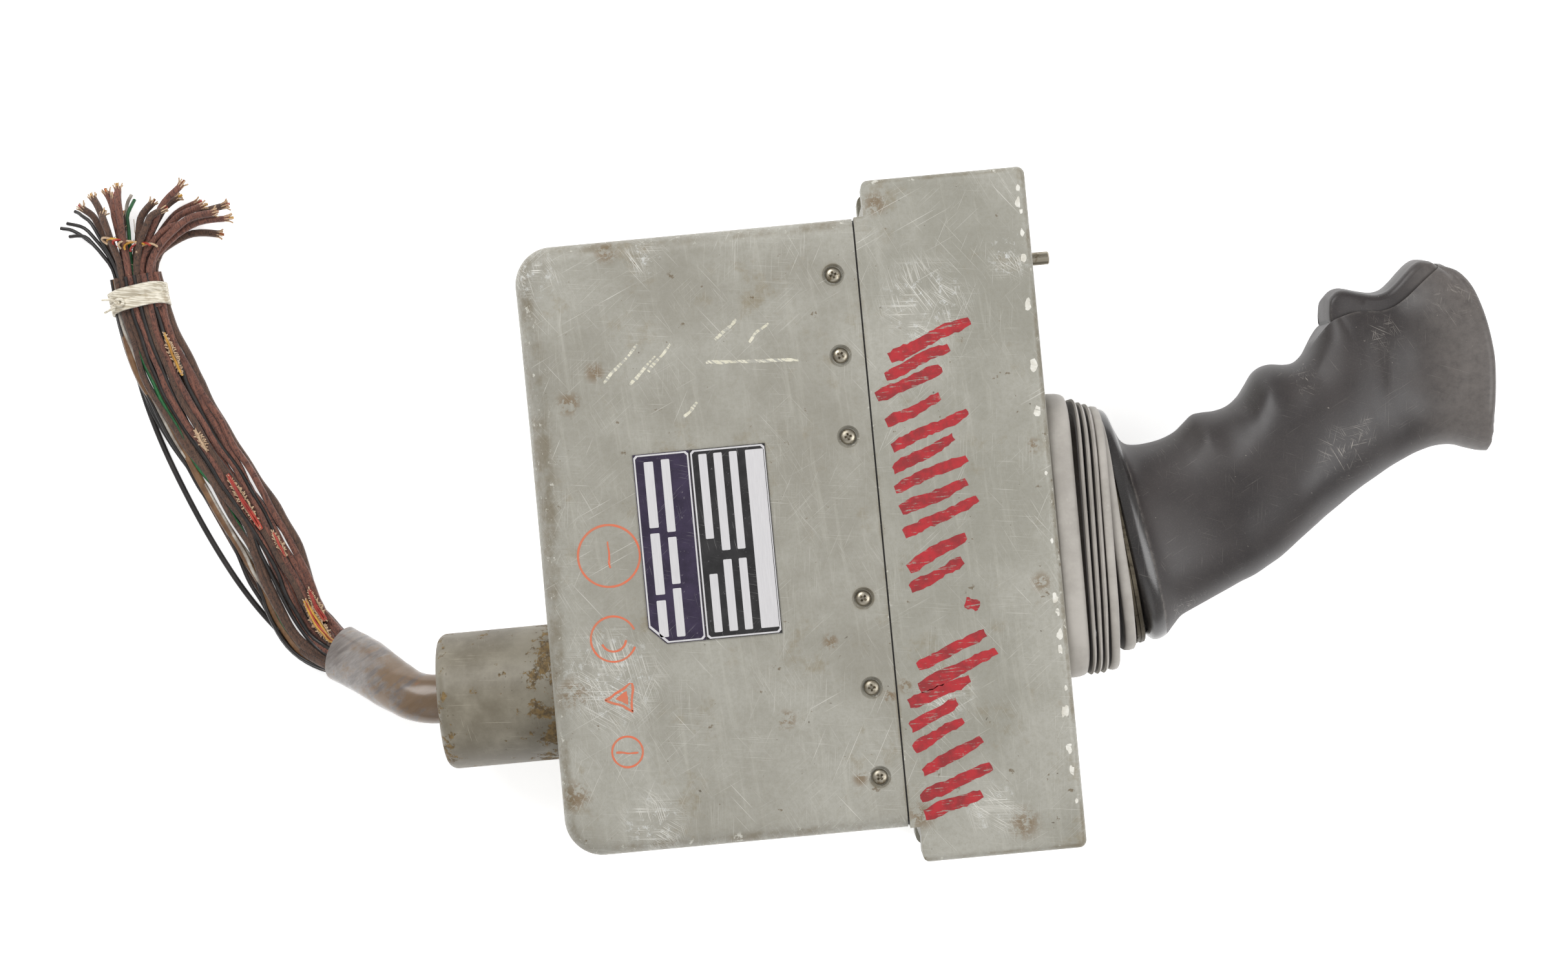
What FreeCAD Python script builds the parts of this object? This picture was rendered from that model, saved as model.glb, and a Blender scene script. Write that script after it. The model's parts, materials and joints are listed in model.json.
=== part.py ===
import FreeCAD, Part
import math
import os
import re
import Sketcher

# A three-axis hand controller lying on one broad side of its case.
# Millimetres. +X runs from the cable boss to the grip, +Y towards the trigger side,
# +Z up through the thickness of the case. The origin is the middle of the lower broad face.
# Bodies: the case, a roll gimbal in it, a yaw column in the gimbal, the grip on the column,
# the trigger and its switch plunger in the grip, and the lock shaft in the case.

doc = FreeCAD.newDocument("hand_controller")
Vector = FreeCAD.Vector
NODES = []

SIZES = {
    # case: a deep cover and a cast front housing with an ear at each end
    "case_thick": 82.5,
    "back_reach": 91.5,
    "cover_depth": 120.8,
    "cover_width": 215.9,
    "cover_wall": 2.5,
    "cover_corner": 13.5,
    "back_edge": 9.0,
    "side_edge": 6.0,
    "seam_gap": 0.6,
    "housing_depth": 61.6,
    "housing_wall": 4.0,
    "face_wall": 6.0,
    "housing_edge": 2.8,
    "ear_reach": 12.7,
    "ear_setback": 3.5,
    "groove_mouth": 44.0,
    "groove_depth": 8.0,
    "groove_flare": 4.6,
    "groove_stop": 8.0,
    "spigot_reach": 16.0,
    "spigot_wall": 3.0,
    "fit_gap": 0.05,
    "face_gap": 0.3,
    # cover screws: two rows of six, three upper and three lower ones in each
    "screw_setback": 8.4,
    "screw_upper_end": 19.45,
    "screw_upper_pitch": 28.6,
    "screw_lower_end": 18.85,
    "screw_lower_pitch": 31.6,
    "screw_head": 2.78,
    "screw_head_thick": 1.6,
    "screw_shank": 1.42,
    "screw_grip": 4.2,
    "screw_slot": 0.7,
    "dish_radius": 3.95,
    "dish_floor": 3.1,
    "dish_depth": 1.7,
    # cable boss on the back
    "boss_place": -50.6,
    "boss_radius": 24.6,
    "boss_length": 42.6,
    "boss_edge": 4.0,
    "boss_bore": 9.4,
    "boss_spigot": 15.0,
    "boss_spigot_length": 10.5,
    "nut_radius": 21.0,
    "nut_thick": 6.0,
    # name plates on the upper broad face
    "plate_thick": 0.5,
    "plate_a_back": -55.4,
    "plate_a_front": -35.3,
    "plate_b_front": -8.6,
    "plate_top": 31.8,
    "plate_bottom": -35.3,
    "plate_clip": 6.0,
    # terminal board inside the cover
    "board_back": -62.0,
    "board_length": 62.0,
    "board_low": -35.0,
    "board_width": 96.0,
    "board_thick": 1.6,
    "standoff_height": 12.0,
    "standoff_radius": 3.2,
    "standoff_inset": 5.0,
    # lock shaft beside the grip
    "lock_from_side": 18.05,
    "lock_radius": 2.38,
    "lock_out": 9.0,
    "lock_in": 22.0,
    "bushing_radius": 4.5,
    "lever_radius": 7.0,
    "lever_thick": 4.0,
    "lever_length": 19.0,
    # roll gimbal: turns about a Y axis inside the housing
    "column_place": -10.4,
    "roll_setback": 39.5,
    "opening_radius": 22.0,
    "frame_thick": 5.0,
    "frame_width": 100.0,
    "frame_height": 60.0,
    "frame_screw_radius": 2.0,
    "post_inner": 35.0,
    "post_thick": 10.0,
    "post_height": 28.0,
    "post_reach": 12.0,
    "yoke_half": 30.0,
    "yoke_length": 28.0,
    "yoke_height": 32.0,
    "stub_radius": 3.0,
    "roll_bearing": 8.0,
    "spring_wire": 1.0,
    "canister_radius": 9.5,
    "canister_length": 22.0,
    # yaw column: turns about the X axis inside the gimbal
    "column_radius": 8.0,
    "yaw_bearing": 13.0,
    "yaw_bearing_length": 6.0,
    "column_flange": 15.0,
    "column_flange_thick": 4.0,
    "column_out": 8.5,
    "tail_radius": 3.0,
    "fork_half_width": 6.0,
    "fork_half_thick": 7.0,
    "fork_eye": 10.0,
    # pitch pivot in the palm of the grip, from the front face and the column axis
    "palm_out": 80.5,
    "palm_up": 13.4,
    "pin_radius": 3.0,
    "pin_half": 13.0,
    "pitch_bearing": 7.0,
    "pitch_bearing_length": 4.0,
    "cheek_thick": 2.2,
    "side_gap": 0.4,
    # grip shells, base ring, clamp band and boot
    "shell_wall": 3.2,
    "ring_wall": 10.0,
    "boss_post": 4.5,
    "grip_screw_radius": 1.5,
    "grip_head_radius": 2.8,
    "grip_head_depth": 14.0,
    "band_thick": 0.8,
    "band_width": 3.0,
    "boot_wall": 4.0,
    "boot_base_half": 51.85,
    "boot_base_side": 37.5,
    # trigger
    "trigger_out": 119.3,
    "trigger_up": 69.6,
    "trigger_pin_radius": 2.2,
    "tongue_half": 6.0,
    "tongue_reach": 8.0,
    "switch_side": 7.0,
    "switch_height": 12.0,
    "plunger_radius": 2.0,
    "plunger_out": 3.7,
    # cord
    "sleeve_radius": 9.3,
    "bundle_radius": 6.0,
    "wire_radius": 1.5,
    "tie_length": 8.0,
    "tie_gap": 0.8,
    "tie_thick": 0.9,
}

sheet = doc.addObject("Spreadsheet::Sheet", "Sizes")
for row, (alias, amount) in enumerate(SIZES.items(), 1):
    sheet.set("A%d" % row, alias)
    sheet.set("B%d" % row, str(amount))
    sheet.setAlias("B%d" % row, alias)
doc.recompute()

# Places that follow from the sizes
PLACES = {
    "seam_x": "cover_depth - back_reach",
    "lip_x": "seam_x + seam_gap",
    "front_x": "lip_x + housing_depth",
    "ear_x": "lip_x + ear_setback",
    "ear_y": "cover_width / 2 + ear_reach",
    "mid_z": "case_thick / 2",
    "spigot_gap": "cover_wall + fit_gap * 2",
    "lock_place": "cover_width / 2 - lock_from_side",
    "roll_x": "front_x - roll_setback",
    "frame_x": "front_x - face_wall - frame_thick",
    "flange_x": "front_x + column_out",
    "palm_x": "front_x + palm_out",
    "palm_y": "column_place + palm_up",
    "trigger_x": "front_x + trigger_out",
    "trigger_y": "column_place + trigger_up",
}

places = doc.addObject("App::FeaturePython", "Places")


def linked(formula):
    """A formula with each name written as the sheet or the places object knows it."""

    def full_name(match):
        word = match.group(0)
        if word in SIZES:
            return "Sizes." + word
        if word in PLACES:
            return "Places." + word
        return word

    return re.sub(r"[a-z][a-z_]+", full_name, str(formula))


for place, formula in PLACES.items():
    places.addProperty("App::PropertyFloat", place)
    places.setExpression(place, linked(formula))
doc.recompute()


def size(name):
    """The number that a size or a place has now."""
    if name in SIZES:
        return float(sheet.get(name))
    return float(getattr(places, name))


# Directions along which a cylinder or a turned piece can lie
ALONG = {
    "X": FreeCAD.Rotation(Vector(0, 1, 0), 90),
    "Y": FreeCAD.Rotation(Vector(1, 0, 0), -90),
    "Z": FreeCAD.Rotation(),
}


def put(piece, start, turn=FreeCAD.Rotation()):
    """Turn a piece, then bind its three coordinates to formulas."""
    piece.Placement = FreeCAD.Placement(Vector(), turn)
    for axis, formula in zip("xyz", start):
        piece.setExpression("Placement.Base." + axis, linked(formula))
    return piece


def block(name, start, lengths):
    """A box from its lowest corner and its three lengths."""
    piece = doc.addObject("Part::Box", name)
    for side, formula in zip(("Length", "Width", "Height"), lengths):
        piece.setExpression(side, linked(formula))
    return put(piece, start)


def centred(name, start, lengths):
    """A box that is centred on its start in Y and Z and begins at its X."""
    low = (start[0], f"{start[1]} - ({lengths[1]}) / 2", f"{start[2]} - ({lengths[2]}) / 2")
    return block(name, low, lengths)


def rod(name, direction, start, radius, length):
    """A cylinder along an axis."""
    piece = doc.addObject("Part::Cylinder", name)
    piece.setExpression("Radius", linked(radius))
    piece.setExpression("Height", linked(length))
    return put(piece, start, ALONG[direction])


def united(name, *parts):
    piece = doc.addObject("Part::MultiFuse", name)
    piece.Shapes = parts
    piece.Refine = True
    return piece


def without(name, base, *tools):
    piece = doc.addObject("Part::Cut", name)
    piece.Base = base
    piece.Tool = tools[0] if len(tools) == 1 else united(name + "_tools", *tools)
    return piece


def gathered(name, parts):
    """Several solids that are one node."""
    piece = doc.addObject("Part::Compound", name)
    piece.Links = parts
    return piece


def sleeve(name, direction, start, outer, bore, length):
    """A cylinder with a bore."""
    solid = rod(name + "_solid", direction, start, outer, length)
    hole = rod(name + "_hole", direction, start, bore, length)
    return without(name, solid, hole)


def rounded(name, base, radius_at):
    """Fillets on a solid: radius_at gives the two end radii of an edge, or None."""
    doc.recompute()
    piece = doc.addObject("Part::Fillet", name)
    piece.Base = base
    edges = [(number, radius_at(edge)) for number, edge in enumerate(base.Shape.Edges, 1)]
    piece.Edges = [(number, *radii) for number, radii in edges if radii]
    return piece


def node(piece, label):
    """A finished sub-part, under the name of its file."""
    piece.Label = label
    NODES.append(piece)
    return piece


def sketched(body, role, points):
    """A closed outline of straight lines, each corner held by two formulas."""
    sketch = body.newObject("Sketcher::SketchObject", body.Name + "_outline")
    plane = [item for item in body.Origin.OriginFeatures if item.Role == role][0]
    sketch.AttachmentSupport = [(plane, "")]
    sketch.MapMode = "FlatFace"
    count = len(points)
    for number in range(count):
        turn = 2 * math.pi / count
        start = Vector(math.cos(turn * number), math.sin(turn * number), 0)
        end = Vector(math.cos(turn * (number + 1)), math.sin(turn * (number + 1)), 0)
        sketch.addGeometry(Part.LineSegment(start, end), False)
    for number in range(count):
        sketch.addConstraint(Sketcher.Constraint("Coincident", number, 2, (number + 1) % count, 1))
        for kind, formula in zip(("DistanceX", "DistanceY"), points[number]):
            held = sketch.addConstraint(Sketcher.Constraint(kind, -1, 1, number, 1, 1.0))
            sketch.setExpression("Constraints[%d]" % held, linked(formula))
    return sketch


def turned(name, direction, start, outline):
    """A lathe piece: outline is (radius, distance along the axis)."""
    body = doc.addObject("PartDesign::Body", name)
    sketch = sketched(body, "XZ_Plane", outline)
    doc.recompute()
    turn = body.newObject("PartDesign::Revolution", name + "_turn")
    turn.Profile = sketch
    turn.ReferenceAxis = (sketch, ["V_Axis"])
    turn.Angle = 360
    return put(body, start, ALONG[direction])


def sheet_metal(name, start, outline, thickness, centred_on_plane=False):
    """A flat piece: an outline in X and Y, raised by its thickness."""
    body = doc.addObject("PartDesign::Body", name)
    sketch = sketched(body, "XY_Plane", outline)
    doc.recompute()
    pad = body.newObject("PartDesign::Pad", name + "_pad")
    pad.Profile = sketch
    pad.Midplane = centred_on_plane
    pad.setExpression("Length", linked(thickness))
    return put(body, start)


def coil(name, direction, start, radius, wire, height, turns):
    """A close-wound torsion spring: its turns touch, so one lathe outline holds them all."""
    outer = []
    inner = []
    for turn in range(turns):
        for share, bulge in ((0.0, 0.28), (0.25, 0.5), (0.75, 0.5)):
            level = f"({height}) * {(turn + share) / turns}"
            outer.append((f"{radius} + ({wire}) * {bulge}", level))
            inner.append((f"{radius} - ({wire}) * {bulge}", level))
    outer.append((f"{radius} + ({wire}) * 0.28", height))
    inner.append((f"{radius} - ({wire}) * 0.28", height))
    return turned(name, direction, start, outer + inner[::-1])


# ---------------------------------------------------------------- case

def hollow_box(name, start, lengths, corner, back, side):
    """The cover's form: round back corners, a soft back edge and softer side edges."""
    box = block(name + "_box", start, lengths)
    doc.recompute()
    low = box.Shape.BoundBox

    def corners(edge):
        upright = edge.BoundBox.ZLength > low.ZLength - 0.01
        return (corner, corner) if upright and edge.BoundBox.XMax < low.XMin + 0.01 else None

    def rims(edge):
        reach = edge.BoundBox
        if reach.ZLength > 0.01 or reach.XMin > low.XMax - 0.01:
            return None
        if reach.XMax < low.XMin + 0.01:
            return (back, back)
        if reach.XLength > 2 * corner:
            return (side, side)
        starts_behind = edge.valueAt(edge.FirstParameter).x < edge.valueAt(edge.LastParameter).x
        return (back, side) if starts_behind else (side, back)

    return rounded(name, rounded(name + "_corners", box, corners), rims)


def screw_places():
    """The Y of each cover screw, as formulas."""
    upper = [f"cover_width / 2 - screw_upper_end - screw_upper_pitch * {step}" for step in range(3)]
    lower = [f"screw_lower_end - cover_width / 2 + screw_lower_pitch * {step}" for step in range(3)]
    return upper + lower


def dishes():
    """The recesses of the cover screws, in both broad faces."""
    recesses = []
    for number, place in enumerate(screw_places()):
        for side, low in (("upper", "case_thick - dish_depth"), ("lower", "0")):
            piece = doc.addObject("Part::Cone", f"dish_{side}_{number}")
            wide, narrow = ("Radius2", "Radius1") if side == "upper" else ("Radius1", "Radius2")
            piece.setExpression(wide, linked("dish_radius"))
            piece.setExpression(narrow, linked("dish_floor"))
            piece.setExpression("Height", linked("dish_depth"))
            recesses.append(put(piece, ("seam_x - screw_setback", place, low)))
    return recesses


def shank_holes(name, radius):
    """Holes for the cover screws, through both walls."""
    holes = []
    for number, place in enumerate(screw_places()):
        for side, low in (("upper", "case_thick - screw_grip - dish_depth"), ("lower", "0")):
            start = ("seam_x - screw_setback", place, low)
            length = "screw_grip + dish_depth"
            holes.append(rod(f"{name}_{side}_{number}", "Z", start, radius, length))
    return holes


def rear_cover():
    outside = hollow_box(
        "cover_form",
        ("-back_reach", "-cover_width / 2", "0"),
        ("cover_depth", "cover_width", "case_thick"),
        size("cover_corner"),
        size("back_edge"),
        size("side_edge"),
    )
    inside = hollow_box(
        "cover_hollow",
        ("cover_wall - back_reach", "cover_wall - cover_width / 2", "cover_wall"),
        ("cover_depth", "cover_width - cover_wall * 2", "case_thick - cover_wall * 2"),
        size("cover_corner") - size("cover_wall"),
        size("back_edge") - size("cover_wall"),
        size("side_edge") - size("cover_wall"),
    )
    boss_hole = rod(
        "cover_boss_hole",
        "X",
        ("-back_reach - 1", "boss_place", "mid_z"),
        "boss_spigot + fit_gap",
        "cover_wall + 2",
    )
    tools = [inside, boss_hole] + dishes() + shank_holes("cover_screw_hole", "screw_shank + fit_gap")
    node(without("rear_cover", outside, *tools), "rear_cover")


def front_housing():
    ears = block(
        "housing_ears",
        ("ear_x", "-ear_y", "0"),
        ("front_x - ear_x", "ear_y * 2", "case_thick"),
    )
    doc.recompute()
    reach = ears.Shape.BoundBox
    edge_radius = size("housing_edge")

    def outer(edge):
        back = edge.BoundBox.XMax < reach.XMin + 0.01
        along_y = edge.BoundBox.YLength > reach.YLength - 0.01
        return None if back and along_y else (edge_radius, edge_radius)

    soft_ears = rounded("housing_soft_ears", ears, outer)
    lip = block(
        "housing_lip",
        ("lip_x", "-cover_width / 2", "0"),
        ("ear_setback + housing_edge", "cover_width", "case_thick"),
    )
    spigot = block(
        "housing_spigot",
        ("lip_x - spigot_reach", "spigot_gap - cover_width / 2", "spigot_gap"),
        ("spigot_reach + housing_wall", "cover_width - spigot_gap * 2", "case_thick - spigot_gap * 2"),
    )
    spigot_radius = size("side_edge") - size("cover_wall") + 1

    def along_x(edge):
        return (spigot_radius, spigot_radius) if edge.BoundBox.XLength > 1 else None

    whole = united("housing_whole", soft_ears, lip, rounded("housing_soft_spigot", spigot, along_x))
    hollow_front = block(
        "housing_hollow",
        ("lip_x - spigot_reach - 1", "housing_wall + spigot_wall - cover_width / 2", "housing_wall + 2"),
        (
            "housing_depth + spigot_reach + 1 - face_wall",
            "cover_width - housing_wall * 2 - spigot_wall * 2",
            "case_thick - housing_wall * 2 - 4",
        ),
    )
    opening = rod(
        "housing_opening",
        "X",
        ("front_x - face_wall - 1", "column_place", "mid_z"),
        "opening_radius",
        "face_wall + 2",
    )
    lock_hole = rod(
        "housing_lock_hole",
        "X",
        ("front_x - face_wall - 1", "lock_place", "mid_z"),
        "bushing_radius + fit_gap",
        "face_wall + 2",
    )
    tools = [hollow_front, opening, lock_hole] + [groove(1), groove(-1)]
    tools += shank_holes("housing_screw_hole", "screw_shank + fit_gap")
    tools += frame_screw_rods("housing_frame_hole", "frame_screw_radius + fit_gap", "face_wall - 2")
    node(without("front_housing", whole, *tools), "front_housing")


def groove(side):
    """A dovetail groove in the end face of an ear, open towards the back."""
    flip = "-1" if side < 0 else "1"
    name = "groove_upper" if side > 0 else "groove_lower"
    outline = (
        ("-groove_mouth / 2", f"(ear_y + 1) * {flip}"),
        ("groove_mouth / 2", f"(ear_y + 1) * {flip}"),
        ("groove_mouth / 2", f"ear_y * {flip}"),
        ("groove_mouth / 2 + groove_flare", f"(ear_y - groove_depth) * {flip}"),
        ("-groove_mouth / 2 - groove_flare", f"(ear_y - groove_depth) * {flip}"),
        ("-groove_mouth / 2", f"ear_y * {flip}"),
    )
    body = sheet_metal(name, ("0", "0", "0"), outline, "front_x - ear_x - groove_stop + 1")
    return put(body, ("ear_x - 1", "0", "mid_z"), FreeCAD.Rotation(Vector(0, 1, 0), 90))


def housing_gasket():
    start = ("seam_x", "fit_gap - cover_width / 2 + 0.6", "0.6")
    lengths = ("seam_gap", "cover_width - fit_gap * 2 - 1.2", "case_thick - 1.2")
    outer = block("gasket_outer", start, lengths)
    corner = size("side_edge") - 0.6

    def along_x(edge):
        return (corner, corner) if edge.BoundBox.XLength > 0.1 else None

    soft = rounded("gasket_soft", outer, along_x)
    inner = block(
        "gasket_inner",
        ("seam_x - 1", "cover_wall - cover_width / 2", "cover_wall"),
        ("seam_gap + 2", "cover_width - cover_wall * 2", "case_thick - cover_wall * 2"),
    )
    inner_corner = size("side_edge") - size("cover_wall")

    def inner_along_x(edge):
        return (inner_corner, inner_corner) if edge.BoundBox.XLength > 1 else None

    hole = rounded("gasket_hole", inner, inner_along_x)
    node(without("housing_gasket", soft, hole), "housing_gasket")


def screw(name, start, upward):
    """A pan-head screw with a cross recess, its head upward or downward."""
    head_low = f"{start[2]}" if upward else f"{start[2]} - screw_head_thick"
    head = rod(name + "_head", "Z", (start[0], start[1], head_low), "screw_head", "screw_head_thick")
    shank_low = f"{start[2]} - screw_grip + 0.2" if upward else f"{start[2]}"
    shank_start = (start[0], start[1], shank_low)
    shank = rod(name + "_shank", "Z", shank_start, "screw_shank", "screw_grip - 0.2")
    slot_low = f"{start[2]} + screw_head_thick - 0.8" if upward else f"{start[2]} - screw_head_thick"
    arms = []
    for arm, (wide, deep) in enumerate((("3.4", "screw_slot"), ("screw_slot", "3.4"))):
        low = (f"{start[0]} - ({wide}) / 2", f"{start[1]} - ({deep}) / 2", slot_low)
        arms.append(block(f"{name}_slot_{arm}", low, (wide, deep, "0.8")))
    return without(name, united(name + "_blank", head, shank), *arms)


def cover_screws():
    screws = []
    for number, place in enumerate(screw_places()):
        upper = ("seam_x - screw_setback", place, "case_thick - dish_depth")
        lower = ("seam_x - screw_setback", place, "dish_depth")
        screws.append(screw(f"cover_screw_upper_{number}", upper, True))
        screws.append(screw(f"cover_screw_lower_{number}", lower, False))
    node(gathered("cover_screws", screws), "cover_screws")


def cable_boss():
    """A turned boss with a spigot that passes through the cover."""
    outline = (
        ("boss_bore", "0"),
        ("boss_radius", "0"),
        ("boss_radius", "boss_length"),
        ("boss_spigot", "boss_length"),
        ("boss_spigot", "boss_length + boss_spigot_length"),
        ("boss_bore", "boss_length + boss_spigot_length"),
    )
    start = ("-back_reach - boss_length", "boss_place", "mid_z")
    body = turned("cable_boss", "X", start, outline)
    doc.recompute()
    blank = body.Tip
    edge = body.newObject("PartDesign::Fillet", "cable_boss_edge")
    rim = [
        number
        for number, item in enumerate(body.Shape.Edges, 1)
        if abs(item.BoundBox.YLength - 2 * size("boss_radius")) < 0.1
        and item.BoundBox.XMax < -size("back_reach") - size("boss_length") + 0.1
    ]
    edge.Base = (blank, ["Edge%d" % number for number in rim])
    edge.setExpression("Radius", linked("boss_edge"))
    node(body, "cable_boss")
    potting = rod("boss_potting", "X", start, "boss_bore - fit_gap", "boss_length - 4")
    node(potting, "boss_potting")
    nut_start = ("cover_wall - back_reach", "boss_place", "mid_z")
    nut = sleeve("boss_nut", "X", nut_start, "nut_radius", "boss_spigot + fit_gap", "nut_thick")
    node(nut, "boss_nut")


def name_plates():
    low_a = ("plate_a_back", "plate_bottom")
    outline = (
        (f"{low_a[0]} + plate_clip", low_a[1]),
        ("plate_a_front - 0.2", "plate_bottom"),
        ("plate_a_front - 0.2", "plate_top"),
        ("plate_a_back", "plate_top"),
        ("plate_a_back", "plate_bottom + plate_clip"),
    )
    plate = sheet_metal("id_plate_a", ("0", "0", "case_thick"), outline, "plate_thick")
    node(plate, "id_plate_a")
    outline = (
        ("plate_a_front", "plate_bottom"),
        ("plate_b_front", "plate_bottom"),
        ("plate_b_front", "plate_top"),
        ("plate_a_front", "plate_top"),
    )
    plate = sheet_metal("id_plate_b", ("0", "0", "case_thick"), outline, "plate_thick")
    node(plate, "id_plate_b")


def terminal_board():
    board_z = "cover_wall + standoff_height"
    corners = [
        (f"board_back + {x}", f"board_low + {y}")
        for x in ("standoff_inset", "board_length - standoff_inset")
        for y in ("standoff_inset", "board_width - standoff_inset")
    ]
    posts = []
    for number, (x, y) in enumerate(corners):
        start = (x, y, "cover_wall")
        posts.append(rod(f"standoff_{number}", "Z", start, "standoff_radius", "standoff_height"))
    node(gathered("board_standoffs", posts), "board_standoffs")
    start = ("board_back", "board_low", board_z)
    board = block("board_plate", start, ("board_length", "board_width", "board_thick"))
    terminals = []
    for number in range(8):
        place = f"board_low + board_width / 2 + {number - 3.5} * 8"
        at = ("board_back + 12", f"{place} - 2.5", f"{board_z} + board_thick - 0.2")
        terminals.append(block(f"terminal_{number}", at, ("board_length - 24", "5", "5.2")))
    node(united("terminal_board", board, *terminals), "terminal_board")


# ---------------------------------------------------------------- lock

def lock():
    bushing_start = ("front_x - face_wall - 1", "lock_place", "mid_z")
    bushing = sleeve(
        "lock_bushing",
        "X",
        bushing_start,
        "bushing_radius",
        "lock_radius + fit_gap",
        "face_wall + 1",
    )
    node(bushing, "lock_bushing")
    shaft_start = ("front_x - lock_in", "lock_place", "mid_z")
    outline = (
        ("0", "0"),
        ("lock_radius", "0"),
        ("lock_radius", "lock_in + lock_out - 0.4"),
        ("lock_radius - 0.4", "lock_in + lock_out"),
        ("0", "lock_in + lock_out"),
    )
    node(turned("lock_shaft", "X", shaft_start, outline), "lock_shaft")
    lever_start = ("front_x - face_wall - 1.3 - lever_thick", "lock_place", "mid_z")
    hub = rod("lever_hub", "X", lever_start, "lever_radius", "lever_thick")
    finger = block(
        "lever_finger",
        (lever_start[0], "lock_place - lever_length", "mid_z - 3"),
        ("lever_thick", "lever_length", "6"),
    )
    bore = rod("lever_bore", "X", lever_start, "lock_radius", "lever_thick")
    node(without("lock_lever", united("lever_blank", hub, finger), bore), "lock_lever")


# ---------------------------------------------------------------- roll gimbal

def frame_screw_rods(name, radius, depth):
    """The four screws that hold the gimbal frame to the front wall, as rods."""
    rods = []
    for number, (side, up) in enumerate(((-1, -1), (-1, 1), (1, -1), (1, 1))):
        start = (
            "frame_x",
            f"column_place + ({side}) * (frame_width / 2 - 6)",
            f"mid_z + ({up}) * (frame_height / 2 - 6)",
        )
        rods.append(rod(f"{name}_{number}", "X", start, radius, f"frame_thick + {depth}"))
    return rods


def gimbal_frame():
    plate = centred(
        "frame_plate", ("frame_x", "column_place", "mid_z"), ("frame_thick", "frame_width", "frame_height")
    )
    parts = [plate]
    for name, low in (
        ("frame_post_upper", "column_place + post_inner"),
        ("frame_post_lower", "column_place - post_inner - post_thick"),
    ):
        start = ("roll_x - post_reach", low, "mid_z - post_height / 2")
        parts.append(block(name, start, ("frame_x - roll_x + post_reach", "post_thick", "post_height")))
    bore_start = ("roll_x", "column_place - post_inner - post_thick - 1", "mid_z")
    bore_length = "post_inner * 2 + post_thick * 2 + 2"
    bore = rod("frame_bore", "Y", bore_start, "roll_bearing + fit_gap", bore_length)
    window_start = ("frame_x - 1", "column_place", "mid_z")
    window = rod("frame_window", "X", window_start, "opening_radius", "frame_thick + 2")
    holes = frame_screw_rods("frame_hole", "frame_screw_radius + fit_gap", "0")
    frame = without("gimbal_frame", united("frame_blank", *parts), bore, window, *holes)
    node(frame, "gimbal_frame")
    heads = []
    shanks = frame_screw_rods("frame_screw_shank", "frame_screw_radius", "face_wall - 2.2")
    for number, shank in enumerate(shanks):
        start = (
            "frame_x - 2",
            f"column_place + ({(-1, -1, 1, 1)[number]}) * (frame_width / 2 - 6)",
            f"mid_z + ({(-1, 1, -1, 1)[number]}) * (frame_height / 2 - 6)",
        )
        head = rod(f"frame_screw_head_{number}", "X", start, "frame_screw_radius + 1.6", "2")
        heads.append(united(f"frame_screw_{number}", head, shank))
    node(gathered("frame_screws", heads), "frame_screws")


def roll_parts():
    """The bearings, the yoke with its stub shafts, the sensor and the centring spring."""
    for label, low in (
        ("roll_bearing_upper", "column_place + post_inner"),
        ("roll_bearing_lower", "column_place - post_inner - post_thick"),
    ):
        start = ("roll_x", low, "mid_z")
        bearing = sleeve(label, "Y", start, "roll_bearing", "stub_radius + fit_gap", "post_thick")
        node(bearing, label)
    middle = ("roll_x - yoke_length / 2", "column_place", "mid_z")
    body = centred("yoke_block", middle, ("yoke_length", "yoke_half * 2", "yoke_height"))
    stub_start = ("roll_x", "column_place - post_inner - post_thick - 3", "mid_z")
    stub = rod("yoke_stub", "Y", stub_start, "stub_radius", "(post_inner + post_thick + 3) * 2")
    collar_start = ("roll_x", "column_place - post_inner + face_gap", "mid_z")
    collar_length = "(post_inner - face_gap) * 2"
    collar = rod("yoke_collar", "Y", collar_start, "stub_radius + 2", collar_length)
    bore_start = ("roll_x - yoke_length / 2 - 1", "column_place", "mid_z")
    bore = rod("yoke_bore", "X", bore_start, "yaw_bearing + fit_gap", "yoke_length + 2")
    yoke = without("roll_yoke", united("yoke_blank", body, stub, collar), bore)
    node(yoke, "roll_yoke")
    sensor_start = ("roll_x", "column_place + post_inner + post_thick", "mid_z")
    sensor = rod("roll_sensor_can", "Y", sensor_start, "canister_radius", "canister_length")
    socket = rod("roll_sensor_socket", "Y", sensor_start, "stub_radius + face_gap", "4")
    node(without("roll_transducer", sensor, socket), "roll_transducer")
    spring_start = ("roll_x", "column_place + yoke_half + 0.1", "mid_z")
    height = "post_inner - yoke_half - 0.4"
    spring = coil("roll_spring", "Y", spring_start, "stub_radius + 3.2", "spring_wire", height, 3)
    node(spring, "roll_spring")


def switch_stack():
    """Two breakout switches on a bracket, and the cam on the yoke that works them."""
    cam_start = ("roll_x - yoke_length / 2 - 8", "column_place - yoke_half + 2", "mid_z - 3")
    node(block("roll_cam", cam_start, ("8", "6", "6")), "roll_cam")
    bracket_start = (
        "roll_x - post_reach - 26",
        "column_place - post_inner - post_thick",
        "mid_z - post_height / 2",
    )
    node(block("switch_bracket", bracket_start, ("26", "3", "post_height")), "switch_bracket")
    switches = []
    for number, up in enumerate((-1, 1)):
        start = (
            "roll_x - post_reach - 25",
            "column_place - post_inner - post_thick + 3",
            f"mid_z + ({up}) * 7.5 - 3.5",
        )
        switches.append(block(f"roll_switch_{number}", start, ("11", "20", "7")))
    node(gathered("roll_switches", switches), "roll_switches")


# ---------------------------------------------------------------- yaw column

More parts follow.
